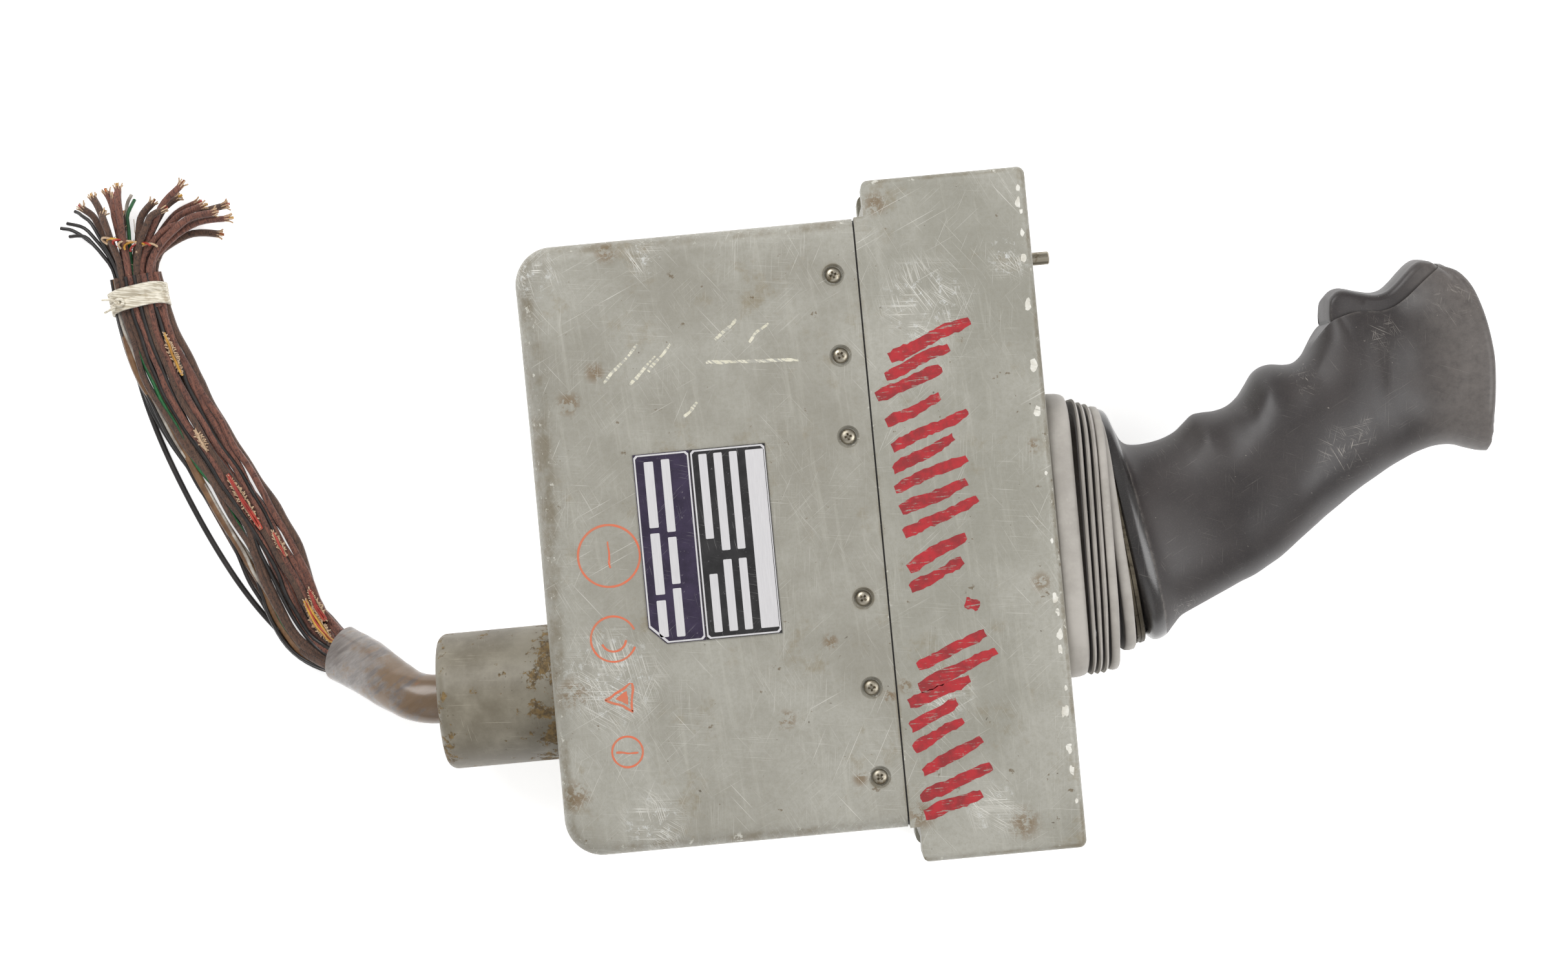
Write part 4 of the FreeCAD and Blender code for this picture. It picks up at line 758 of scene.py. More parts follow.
def wire_fan(trunk):
    """The loose ends beyond the tie: each leaves the bundle, bends out and ends cut."""
    shape = Shape()
    end = trunk.at(trunk.length)
    heading, side, up = trunk.frame(trunk.length - 1.0)
    ordered = sorted(range(len(FAN_TIPS)), key=lambda tip: -FAN_TIPS[tip][0] - 0.3 * FAN_TIPS[tip][1])
    for rank, item in enumerate(ordered):
        x, y, paint = FAN_TIPS[item]
        share = 1 - 2 * rank / (len(ordered) - 1)
        thin = paint in (3, 4, 5)
        radius = 0.7 if thin else 1.35 + 0.2 * wander(item, seed=3)
        layer = (item * 7 % 5) / 4.0
        start = end - heading * 13.0 + side * share * 8.4 + up * (layer * 6.0 - 3.4)
        start.z = max(start.z, radius + 0.2)
        tip = Vector((x, y, radius + 0.15 + 9.0 * layer * (1 if not thin else 0.4)))
        lead = start + heading * 17.0
        bend = lead.lerp(tip, 0.55) + Vector((0, 0, 2.4 * layer))
        bend += side * 1.8 * wander(item * 0.7, seed=9) + heading * 4.5
        rows = [tuple(start), tuple(lead), tuple(bend), tuple(tip)]
        centres = []
        steps = 18
        for step in range(steps + 1):
            point = Vector(through(rows, 3 * step / steps))
            point += side * 0.7 * wander(step * 0.35, seed=item)
            point.z = max(point.z, radius + 0.1)
            centres.append(point)
        strand(shape, centres, radius, 7, paint if paint != 8 else 0)
        out = (centres[-1] - centres[-2]).normalized()
        tail = centres[-1] - out * 0.6
        if paint in (0, 1, 8):
            for hair in range(7 if paint != 8 else 13):
                turn = Quaternion(out, 2 * math.pi * hair / 7 + item)
                lean = turn @ out.orthogonal().normalized()
                spread = 1.9 + 1.2 * wander(hair * 1.7, item, seed=12)
                bits = [tail - out * 1.2 + lean * 0.9, tail + out * 0.8 + lean * 1.3,
                        tail + out * 1.9 + lean * spread]
                strand(shape, lifted(bits, 0.5), 0.3, 5, 8)
            core = [tail.copy(), tail + out * 1.3, tail + out * 2.4]
            strand(shape, lifted(core, 0.6), 0.55, 6, (6, 7, 9)[item % 3])
    for item in range(7):
        turn = item / 6.0
        middle = end + heading * (8 + 5 * turn) + side * (7 - 12 * turn) + up * 4.5
        loop = []
        for step in range(9):
            angle = math.pi * (0.1 + 0.9 * step / 8)
            loop.append(middle + side * 4.2 * math.cos(angle + turn) + heading * 2.6 * math.sin(angle)
                        + up * 1.2 * math.sin(angle * 2 + item))
        strand(shape, lifted(loop, 1.0), 0.45, 6, (8, 6, 7)[item % 3])
    for item in range(34):
        ahead = heading * (2 + 18 * abs(wander(item * 1.3, seed=22)))
        start = end + side * 9.0 * wander(item * 1.9, seed=21) + ahead
        start.z = 4.0 + 9.0 * abs(wander(item * 0.7, seed=23))
        turn = 2 * math.pi * wander(item * 2.1, seed=24)
        hair = [start]
        for step in range(6):
            turn += 0.5 * wander(step, item, seed=25)
            ahead = side * math.cos(turn) + heading * math.sin(turn)
            point = hair[-1] + ahead * (1.0 + 0.8 * abs(wander(item, seed=26)))
            point += up * 0.5 * wander(step, item, seed=27)
            point.z = max(point.z, 0.6)
            hair.append(point)
        strand(shape, hair, 0.14, 4, 8)
    return shape.made("wire_ends", WIRES, "wire_braid", "case", 60)


def frayed_spots(trunk):
    """Where a jacket has split: coloured cores lie open between two rows of cotton stitches."""
    shape = Shape()
    for middle, reach, across, cores in ((68.0, 26.0, 0.42, (7, 6, 7)), (76.0, 16.0, 0.72, (6, 6)),
                                         (104.0, 10.0, 0.5, (6,)), (124.0, 24.0, 0.16, (6, 6)),
                                         (152.0, 9.0, 0.02, (8,)), (186.0, 18.0, 0.62, (7,))):
        spread = 0.7 * (len(cores) - 1)
        for number, core in enumerate(cores):
            centres = []
            for step in range(13):
                distance = middle + reach * (step / 12 - 0.5)
                wide, high = bundle_half(distance, trunk.length)
                heading, side, up = trunk.frame(distance)
                bow = math.sin(math.pi * step / 12)
                apart = (0.7 * number - spread / 2) * (0.4 + 0.6 * bow)
                place = across * wide + apart + 0.6 * wander(step * 0.25, seed=number + 60)
                centres.append(trunk.at(distance) + side * place + up * (high + 1.2 + 0.7 * bow))
            strand(shape, centres, 0.48, 7, core)
        stitches = int(reach * 1.7)
        for stitch in range(stitches):
            distance = middle + reach * ((stitch + 0.5) / stitches - 0.5)
            wide, high = bundle_half(distance, trunk.length)
            heading, side, up = trunk.frame(distance)
            open_here = 0.2 + 0.8 * math.sin(math.pi * (stitch + 0.5) / stitches)
            for way in (-1, 1):
                beside = across * wide + way * (spread / 2 + 0.6) * open_here
                root = trunk.at(distance) + side * beside + up * (high + 1.1)
                lean = side * way * (0.3 + 1.1 * random.random()) * open_here
                lean += heading * (random.random() - 0.4) * 2.4
                stitched = [root - lean * 0.3, root + lean * 0.3 + up * 0.6, root + lean + up * 0.1]
                strand(shape, stitched, 0.24, 5, 8)
    return shape.made("frayed_jackets", WIRES, "wire_braid", "case", 60)


def tubing_sleeve(line):
    """Soft tubing from the boss: pinched near it, flattened and wider at its mouth."""
    outer = []
    inner = []
    rings = 44
    around = 48
    for ring in range(rings + 1):
        share = ring / rings
        distance = line.length * share
        _, side, up = line.frame(distance)
        middle = line.at(distance)
        wide = 9.0 + 1.3 * ease(share, 0.2, 0.8)
        high = 8.2 - 0.9 * ease(share, 0.15, 0.9)
        for corner in range(around):
            angle = 2 * math.pi * corner / around
            crease = 1 + 0.035 * wander(share * 3.2, math.cos(angle) * 1.1, math.sin(angle) * 1.1, 5)
            crease += 0.02 * wander(share * 11, math.cos(angle) * 2.2, math.sin(angle) * 2.2, 8)
            across = side * math.cos(angle) * wide + up * math.sin(angle) * high
            outer.append(middle + across * crease)
            inner.append(middle + across * crease * (1 - 0.9 / wide))
    count = 2 * (rings + 1)
    flipped = []
    for ring in range(rings, -1, -1):
        flipped.extend(inner[ring * around:(ring + 1) * around])
    points = outer + flipped
    shape = Shape()
    shape.add(points, tube_faces(count, around, closed=True))
    return shape.made("tubing_sleeve", TUBE, "sleeve_tube", "case", 70)


def lacing(trunk):
    """A flat tape wound twice round the bundle, with a small knot."""
    shape = Shape()
    middle = trunk.length - TIE_BEFORE_END
    around = 56
    profile = ((-4.2, 0.0), (-4.0, 0.75), (-0.5, 0.85), (-0.15, 0.35), (0.25, 0.8), (3.9, 0.9), (4.2, 0.0),
               (3.9, -0.4), (-3.9, -0.4))
    points = []
    for corner in range(around):
        angle = 2 * math.pi * corner / around
        for offset, lift in profile:
            place = middle + offset + 1.3 * math.sin(angle)
            place += 0.4 * wander(math.cos(angle), math.sin(angle), seed=2)
            heading, side, up = trunk.frame(middle)
            wide = 10.4 + lift + 0.3 * wander(math.cos(angle) * 2, math.sin(angle) * 2, offset * 0.3, 4)
            high = 5.6 + lift
            power = 0.8
            across = math.copysign(abs(math.cos(angle)) ** power, math.cos(angle)) * wide
            above = math.copysign(abs(math.sin(angle)) ** power, math.sin(angle)) * high
            point = trunk.at(middle) + heading * (place - middle) + side * across + up * above
            point.z = max(point.z, 0.3)
            points.append(point)
    shape.add(points, tube_faces(around, len(profile), closed=True))
    heading, side, up = trunk.frame(middle)
    knot = trunk.at(middle) + up * 6.0 - side * 6.5
    for turn in range(3):
        loop = []
        for step in range(13):
            angle = 2 * math.pi * step / 12 + turn
            loop.append(knot + side * 1.5 * math.cos(angle) + heading * 1.2 * math.sin(angle)
                        + up * (0.35 * turn))
        strand(shape, loop, 0.6, 7)
    for way in (-1, 1):
        tail = [knot, knot - side * 3.4 + heading * 1.8 * way,
                knot - side * 6.6 + heading * 2.4 * way - up * 2.5]
        strand(shape, tail, 0.5, 6)
    return shape.made("lacing_tape", TAPE, "lacing", "case", 60)


def cords():
    whole = [*SLEEVE_ROUTE, *BUNDLE_ROUTE]
    trunk = Line(along(whole))
    sleeve_line = Line(along(SLEEVE_ROUTE))
    strands = trunk_strands(trunk)
    sleeve = tubing_sleeve(sleeve_line)
    ends = wire_fan(trunk)
    tie = lacing(trunk)
    frays = frayed_spots(trunk)
    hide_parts("harness_bundle")
    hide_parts("harness_sleeve")
    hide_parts("wire_fan")
    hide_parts("lacing_tie")
    for number, (route, coat) in enumerate(zip(LOOSE_ROUTES, (INK, BROWN)), 1):
        curve = route_line(route, 1.1)
        wire = bpy.data.objects.new(f"stray_wire_{number}", curve)
        bpy.context.scene.collection.objects.link(wire)
        curve.materials.append(coat)
        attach(wire, "case")
        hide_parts(f"loose_wire_{number}")
        Line(along(route)).length * MM


# ---------------------------------------------------------------- grip

# Stations along the grip: front point, back point, half width in Z
STATIONS = (
    (111.0, 33.9, 122.6, -49.6, 28.0), (114.7, 32.4, 125.6, -52.0, 28.4), (116.7, 27.6, 129.5, -51.0, 27.4),
    (119.0, 22.4, 132.8, -47.6, 25.2), (121.6, 19.9, 136.0, -44.4, 23.6), (125.2, 19.2, 140.7, -42.1, 22.2),
    (130.4, 19.5, 145.5, -40.0, 21.4), (135.6, 20.6, 150.0, -38.0, 21.0), (140.2, 22.6, 154.8, -35.9, 21.0),
    (143.8, 25.5, 159.0, -34.0, 21.3), (146.9, 28.0, 162.8, -32.6, 21.7), (150.0, 28.6, 165.6, -31.3, 22.1),
    (155.2, 28.8, 169.6, -29.0, 22.6), (159.9, 30.1, 173.8, -26.6, 23.0), (164.0, 33.0, 177.8, -23.7, 23.3),
    (167.1, 36.9, 181.0, -21.2, 23.5), (170.2, 41.1, 184.5, -18.6, 23.6), (173.3, 43.1, 188.0, -16.0, 23.6),
    (176.9, 43.7, 192.0, -13.0, 23.5), (182.1, 43.1, 197.0, -9.6, 23.2), (186.2, 43.9, 201.4, -6.5, 22.8),
    (190.4, 47.6, 206.0, -3.6, 22.3), (194.5, 52.7, 211.0, -0.8, 21.7), (197.1, 55.5, 215.2, 1.6, 21.1),
    (199.2, 57.0, 218.5, 3.3, 20.5), (201.7, 57.9, 222.0, 4.9, 20.0), (206.9, 59.2, 226.0, 6.6, 19.5),
    (212.1, 59.1, 229.5, 7.7, 19.2), (217.3, 58.9, 232.8, 8.5, 19.0), (221.4, 60.0, 236.0, 8.8, 19.0),
    (225.0, 62.3, 239.0, 8.7, 19.1), (228.1, 65.2, 241.6, 8.2, 19.3), (231.2, 68.2, 244.0, 7.3, 19.5),
    (233.8, 70.4, 246.4, 6.5, 19.8), (236.9, 72.4, 249.4, 5.6, 20.1), (240.0, 74.7, 252.4, 5.2, 20.3),
)
# The front line without its finger grooves, for the sides
SMOOTH_FRONT = (
    (0, 111.0, 33.9), (1, 114.7, 32.4), (2, 116.7, 27.6), (3, 119.0, 22.4), (4, 121.6, 19.9),
    (5, 125.2, 19.4),
    (7, 135.6, 21.4), (10, 147.0, 26.0), (13, 159.9, 31.8), (16, 170.5, 38.0), (19, 182.0, 44.2),
    (22, 194.5, 51.8), (24, 199.8, 56.4), (26, 206.9, 59.4), (28, 217.3, 61.0), (30, 225.0, 63.6),
    (32, 231.2, 68.4), (35, 240.0, 74.7),
)
# The trigger's outer line, by station
TRIGGER_LINE = (
    (25.0, 198.3, 66.8), (25.5, 200.6, 68.6), (26, 203.3, 68.9), (27, 208.6, 67.3), (28, 214.0, 66.0),
    (29, 218.2, 66.8), (30, 221.6, 69.4), (31, 224.8, 72.5), (32, 227.8, 75.3), (33, 231.0, 76.5),
    (34, 234.2, 75.6), (34.6, 236.4, 73.8),
)
# The end face's rise over the last chord, by distance from its front end
END_RISE = (
    (0.0, 0.0), (1.3, 3.0), (3.9, 6.2), (9.1, 8.5), (16.4, 9.6), (24.8, 10.0), (34.3, 9.6), (40.0, 8.8),
    (48.1, 6.9), (59.3, 3.8), (67.0, 1.3), (70.0, 0.0),
)
LAST = len(STATIONS) - 1
# The sections are superellipses. The end face is as long as END_RISE reaches, starts to bow out at a
# station, and has a rounded rim. The flared ring ends, and the trigger starts and ends, at a station.
POWER = 2 / 2.35
END_LENGTH = END_RISE[-1][0]
END_START = 26.5
RIM = 3.2
FLARE_END = 2.1
TRIGGER_START = 25.02
TRIGGER_END = 34.4
# The seam under the trigger: where points lie across it, how deep the pocket is behind its rim,
# how far the trigger's skirt reaches in, and the trigger's width as a share of the grip's
WALL_SHARES = (0.015, 0.03, 0.035, 0.1, 0.2, 0.32, 0.44, 0.56, 0.68, 0.8, 0.9, 0.965, 0.97, 0.985)
POCKET = 3.8
SKIRT = 1.7
TRIGGER_SHARE = 0.915


def read(table, place):
    """A table of rows whose first number is a mark, read smoothly at a place."""
    place = min(max(place, table[0][0]), table[-1][0])
    index = 0
    while index < len(table) - 2 and table[index + 1][0] < place:
        index += 1
    low, high = table[index], table[index + 1]
    share = (place - low[0]) / (high[0] - low[0])
    span = high[0] - low[0]
    before = table[max(index - 1, 0)]
    after = table[min(index + 2, len(table) - 1)]
    values = []
    for column in range(1, len(low)):
        rise = high[column] - low[column]
        slope_in = (high[column] - before[column]) / (high[0] - before[0]) * span
        slope_out = (after[column] - low[column]) / (after[0] - low[0]) * span
        values.append(
            low[column] + share * (slope_in + share * (3 * rise - 2 * slope_in - slope_out
                                                       + share * (slope_in + slope_out - 2 * rise)))
        )
    return values


def oval(point, x, y, wide, tall):
    """1 at the middle of an oval seen from the broad side, 0 from its edge outward."""
    return 1 - ease(math.hypot((point.x - x) / wide, (point.y - y) / tall))


class Chord:
    """One section of the grip: its chord, how far the trigger stands out, and its half width."""

    def __init__(self, place):
        self.place = place
        fx, fy, bx, by, self.half = through(STATIONS, place)
        self.front = Vector((fx, fy))
        self.back = Vector((bx, by))
        self.smooth = Vector(read(SMOOTH_FRONT, place))
        self.out = (self.front - self.back).normalized()
        reach = ease(place, 20.6, 24.8) * (1 - ease(place, 34.0, LAST))
        tip = Vector(read(TRIGGER_LINE, place))
        stand = max((tip - self.front).dot(self.out), 0.0)
        self.stand = stand * reach
        self.long = (self.front - self.back).length
        self.seam = 1.0 - 2 * self.stand / (self.long + self.stand)

    def point(self, angle, height=1.0):
        """A point of the whole section, trigger included. Angle 0 is the front, pi the back."""
        cos, sin = math.cos(angle), math.sin(angle)
        share = math.copysign(abs(cos) ** POWER, cos)
        wide = math.copysign(abs(sin) ** POWER, sin) * self.half
        return self.placed(share, wide * height)

    def placed(self, share, wide):
        """The point at a share of the chord, from -1 at the back to 1 at the trigger's front."""
        whole = self.long + self.stand
        along_chord = (share + 1) / 2 * whole
        base = self.back + self.out * along_chord
        wave = (self.smooth - self.front).dot(self.out)
        near = 1 - ease(share, -0.15, 0.8)
        if self.place > 4:
            fade = ease(self.place, 4.0, 6.0) * (1 - ease(self.place, 21.0, 24.5))
            base += self.out * wave * (ease(share, -1.0, -0.2) * near) * fade
        point = Vector((base.x, base.y, wide))
        rise = self.end_rise(along_chord, whole)
        normal = Vector((-self.out.y, self.out.x)) * -1
        point.x += normal.x * rise
        point.y += normal.y * rise
        return self.sculpted(point)

    def end_rise(self, along_chord, whole):
        """How far the section bows out toward the grip's end face."""
        share = ease(self.place, END_START, LAST + 0.6) / ease(LAST, END_START, LAST + 0.6)
        from_front = (whole - along_chord) * END_LENGTH / whole
        full = read(END_RISE, from_front)[0]
        return max(full - RIM, 0.0) * share ** 1.35

    def sculpted(self, point):
        """Hollows on the broad sides: the thumb's scoop, its ridge and the finger creases."""
        side = abs(point.z) / self.half
        if side < 0.15:
            return point
        hollow = 1.9 * oval(point, 229.0, 40.0, 14.5, 25.0) * ease(point.x, 211.0, 221.0)
        hollow -= 0.9 * oval(point, 213.5, 44.0, 4.6, 19.0)
        hollow += 0.8 * oval(point, 196.0, 40.0, 13.0, 15.0)
        for cx, cy, turn, long in ((168.0, 33.0, 62.0, 15.0), (145.5, 19.5, 58.0, 12.0),
                                   (190.5, 41.0, 55.0, 13.0)):
            angle = math.radians(turn)
            ahead = (point.x - cx) * math.cos(angle) + (point.y - cy) * math.sin(angle)
            beside = (point.y - cy) * math.cos(angle) - (point.x - cx) * math.sin(angle)
            crest = (1 - ease(abs(ahead) / long)) * (1 - ease(abs(beside) / 5.0))
            hollow -= 0.75 * crest
        hollow += 0.9 * oval(point, 158.0, 20.0, 9.0, 13.0)
        hollow += 0.8 * oval(point, 181.0, 34.0, 8.0, 12.0)
        point.z -= math.copysign(hollow * ease(side, 0.15, 0.7), point.z)
        return point

    def seam_angle(self):
        least = 0.3
        if self.seam >= 1.0:
            return least
        return max(math.acos(min(max(self.seam, 0.0), 1.0) ** (1 / POWER)), least)

    def grip_ring(self, around=84):
        """The grip's own part of the section: behind the seam, closed by a wall along it.

        Under the trigger the wall drops behind its rim, so that the trigger's skirt has room."""
        start = self.seam_angle()
        flat = ease(self.stand, 0.3, 2.4)
        pocket = POCKET * ease(self.place, 25.05, 25.5) * (1 - ease(self.place, 34.7, 34.95))
        ring = []
        for step in range(around + 1):
            angle = start + (2 * math.pi - 2 * start) * step / around
            ring.append(self.point(angle))
        low, high = ring[-1].copy(), ring[0].copy()
        inward = Vector((self.out.x, self.out.y, 0)) * -pocket
        for share in WALL_SHARES:
            curved = self.point(-start + 2 * start * share)
            straight = low.lerp(high, share)
            point = curved.lerp(straight, flat)
            if WALL_SHARES[1] < share < WALL_SHARES[-2]:
                point += inward
            ring.append(point)
        return ring

    def trigger_ring(self, across=12, corner=6):
        """The trigger's section: flat sides, a round finger face and a skirt inside the grip's rim."""
        seam = self.point(self.seam_angle())
        half = seam.z * TRIGGER_SHARE
        foot = seam.to_2d()
        tip = self.placed(1.0, 0.0).to_2d()
        height = (tip - foot).length
        up = (tip - foot).normalized() if height > 0.05 else self.out
        radius = min(3.0, 0.42 * (height + SKIRT), half * 0.5)
        crown = min(1.3, 0.2 * height)
        end = 1 - ease(self.place, 25.0, 27.4)
        rows = [(-SKIRT, half), (-SKIRT * 0.4, half),
                (0.25 * height, half * 0.995), (0.5 * height, half * 0.99)]
        shoulder = height - crown - radius
        for step in range(corner + 1):
            angle = math.pi / 2 * step / corner
            rows.append((shoulder + radius * math.sin(angle), half * 0.985 - radius * (1 - math.cos(angle))))
        flat_half = half * 0.985 - radius
        for step in range(1, across):
            z = flat_half * (1 - 2 * step / across)
            rows.append((height - crown * (z / flat_half) ** 2, z))
        for depth, wide in rows[:corner + 5][::-1]:
            rows.append((depth, -wide))
        for step in range(1, across):
            rows.append((-SKIRT, -half + 2 * half * step / across))
        ring = []
        for depth, wide in rows:
            share = min(max(depth / max(height, 0.1), 0.0), 1.0)
            place = foot + up * depth
            shift = end * (1.2 * share - 3.4 * (1 - share))
            ring.append(Vector((place.x + shift, place.y, wide)))
        return ring


def raised(points):
    """Points given about the middle plane, lifted to it."""
    return [Vector((point.x, point.y, point.z + MID)) for point in points]


def end_cap(ring, chord):
    """Rings that round the rim of the end face and close it."""
    normal = Vector((chord.out.y, -chord.out.x))
    rings = []
    centre = sum(ring, Vector()) / len(ring)
    flat_base = []
    for point in ring:
        from_front = (chord.front - point.to_2d()).dot(chord.out) * END_LENGTH / chord.long
        flat_base.append((point, from_front))
    for turn in (22.5, 45.0, 67.5, 90.0):
        angle = math.radians(turn)
        inset = RIM * (1 - math.cos(angle))
        forward = RIM * math.sin(angle)
        layer = []
        for point, from_front in flat_base:
            inward = centre - point
            inward.normalize()
            full = read(END_RISE, max(from_front, 0.0))[0]
            out = min(forward, full)
            layer.append(point + inward * inset + Vector((normal.x, normal.y, 0)) * out)
        rings.append(layer)
    outer = rings[-1]
    for share in (0.82, 0.6, 0.4, 0.2):
        layer = []
        for point in outer:
            place = centre.lerp(point, share)
            from_front = (chord.front - place.to_2d()).dot(chord.out) * END_LENGTH / chord.long
            from_front = min(max(from_front, 0.0), END_LENGTH)
            want = read(END_RISE, from_front)[0] + 0.9 * (1 - share * share)
            base = place.to_2d()
            have = (base - chord.front).dot(normal)
            base += normal * (want - have)
            layer.append(Vector((base.x, base.y, place.z)))
        rings.append(layer)
    return rings


def grip():
    rings = []
    place = FLARE_END
    while place < LAST:
        rings.append(raised(Chord(place).grip_ring()))
        place += 0.25 if place < 24 or place > 26 else 0.125
    last = Chord(float(LAST))
    final = last.grip_ring()
    rings.append(raised(final))
    rings.extend(raised(layer) for layer in end_cap(final, last))
    body = lofted(rings).made("grip_body", GRIP, "grip_paint", "grip", 38)
    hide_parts("grip_shell_left", "grip_shell_right", "grip_screws")
    # the flared ring under it, with an inner wall up to the boot
    rings = [raised(Chord(FLARE_END * step / 16).grip_ring()) for step in range(17)]
    centre_low, centre_high = (sum(ring, Vector()) / len(ring) for ring in (rings[0], rings[-1]))
    inner_high = [centre_high.lerp(point, 0.8) for point in rings[-1]]
    inner_low = [centre_low.lerp(point, 0.8) for point in rings[0]]
    lip = [centre_low.lerp(point, 0.965) - Vector((0.9, 0.1, 0)) for point in rings[0]]
    rings = [inner_low, lip] + rings + [inner_high]
    base = lofted(rings, closed=True).made("grip_flare", RING, "ring_gloss", "grip", 38)
    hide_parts("grip_base_ring")
    # the trigger
    rings = []
    place = TRIGGER_START
    while place <= TRIGGER_END:
        rings.append(raised(Chord(place).trigger_ring()))
        place += 0.125 if place < 26 or place > 33.5 else 0.25
    ends = []
    for ring, other in ((rings[0], rings[3]), (rings[-1], rings[-4])):
        middle = sum(ring, Vector()) / len(ring)
        heading = (middle - sum(other, Vector()) / len(ring)).normalized()
        ends.append([[middle.lerp(point, share) + heading * out for point in ring]
                     for share, out in ((0.965, 0.45), (0.89, 0.8))])
    rings = ends[0][::-1] + rings + ends[1]
    lever = lofted(rings).made("trigger_lever", GRIP, "grip_paint", "trigger", 38)
    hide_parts("trigger")
    # dark slabs in the notches at the trigger's two ends: painted shade of the gaps there
    shape = Shape()
    for outline in (((197.7, 55.2), (198.1, 57.6), (199.4, 58.6), (203.0, 58.4), (202.6, 55.4)),
                    ((234.6, 70.6), (235.6, 72.8), (236.8, 73.5), (237.7, 73.1), (237.4, 70.8))):
        shape.add(*slab(outline, MID - 9.0, MID + 9.0, 0.3))
    notch_shade = shape.made("trigger_notch_shade", GASKET, "grip_paint", "trigger", 38)
    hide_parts("trigger")


# ---------------------------------------------------------------- boot

# Each fold's outer edge: upper point, lower point, half width in Z, where its valley behind lies
FOLDS = (
    ((99.6, 39.8), (99.2, -61.9), 37.2, 7.6),
    ((103.6, 37.6), (101.6, -61.9), 36.8, 1.5),
    ((106.2, 36.2), (103.9, -61.9), 36.4, 1.6),
    ((108.7, 35.4), (106.3, -61.8), 36.0, 1.7),
    ((112.0, 34.4), (110.6, -61.2), 35.0, 3.4),
    ((112.6, 31.6), (117.6, -54.6), 31.5, 4.2),
)
VALLEY = 5.2


def boot_ring(top, bottom, half, inset, shift, squareness, around=120):
    """A ring of the boot in a plane through two points, drawn in by an inset."""
    top = Vector((*top, MID))
    bottom = Vector((*bottom, MID))
    middle = (top + bottom) / 2
    up = (top - bottom).normalized()
    forward = Vector((up.y, -up.x, 0))
    tall = (top - bottom).length / 2 - inset
    wide = half - inset
    ring = []
    for corner in range(around):
        angle = 2 * math.pi * corner / around
        cos, sin = math.cos(angle), math.sin(angle)
        y = math.copysign(abs(cos) ** (2 / squareness), cos) * tall
        z = math.copysign(abs(sin) ** (2 / squareness), sin) * wide
        sag = 0.35 * wander(cos * 1.4, sin * 1.4, shift * 0.2 + top.x * 0.11, 3)
        ring.append(middle + up * y + Vector((0, 0, z)) + forward * (shift + sag))
    return ring


def fold_rings(number):
    """One fold: up out of the valley behind it, over its edge and down into the next."""
    top, bottom, half, behind = FOLDS[number]
    square = 4.6 - 0.3 * number
    rings = []
    if number == 0:
        profile = ((-8.0, 2.2), (-8.0, 0.2), (-7.4, -0.35), (-5.2, -0.55), (-3.0, -0.4), (-1.2, 0.0),
                   (-0.3, 0.6), (0.1, 1.6), (-0.1, 3.2), (-0.2, VALLEY))
    else:
        start = -behind
        soft = min(0.5, behind * 0.3)
        profile = ((start - 0.1, VALLEY), (start, 2.4), (start + soft * 0.6, 0.6), (start + soft * 1.6, 0.05),
                   (start / 2, -0.15), (-soft, 0.1), (0.0, 0.8), (0.15, 2.2), (0.05, VALLEY))
    # Each ring is flagged where it lies deep in the valley; faces next to such rings get the painted valley
    # shade.
    for shift, inset in profile:
        rings.append((boot_ring(top, bottom, half, inset, shift, square), inset > 2.3))
    return rings


def boot():
    spans = (
        ("boot_rear", (0, 1), "case", "roll_gimbal", (93.0, 102.6)),
        ("boot_middle", (2, 3), "roll_gimbal", "yaw_column", (102.6, 107.2)),
        ("boot_front", (4, 5), "yaw_column", "grip", (107.4, 116.5)),
    )
    for name, numbers, first, second, (start, end) in spans:
        rings = []
        for number in numbers:
            rings.extend(fold_rings(number))
        for number in reversed(numbers):
            top, bottom, half, behind = FOLDS[number]
            for shift in (0.0, -behind):
                rings.append((boot_ring(top, bottom, half, VALLEY + 2.0, shift, 4.0), True))
        around = len(rings[0][0])
        shape = Shape()
        faces = tube_faces(len(rings), around, closed=True)
        shape.add([point for ring, _ in rings for point in ring], faces)
        # Faces next to a flagged ring take the second material: painted shade in the valleys and on the inner
        # wall.
        for index in range(len(faces)):
            ring = index // around
            shape.paints[index] = int(rings[ring][1] or rings[(ring + 1) % len(rings)][1])
        skin = shape.made(name, [BOOT, BOOT_VALLEY_SHADE], "boot_rubber", None, 65)
        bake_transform(skin)
        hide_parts("boot")


def clamp_band():
    """The thin metal band that holds the boot under the grip's flare."""
    rings = []
    for shift, inset in ((-3.4, -0.2), (-3.1, -0.75), (-1.9, -0.55), (-1.7, -0.9), (-0.4, -0.7), (-0.1, -0.2),
                         (-0.1, 1.2), (-3.4, 1.2)):
        rings.append(boot_ring((111.4, 31.6), (121.8, -51.6), 27.4, inset, shift, 2.6))
    band = lofted(rings, closed=True).made("clamp_band", BRASS, "brass_band", "grip", 35)
    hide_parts("boot_clamp_band")


# ---------------------------------------------------------------- case details

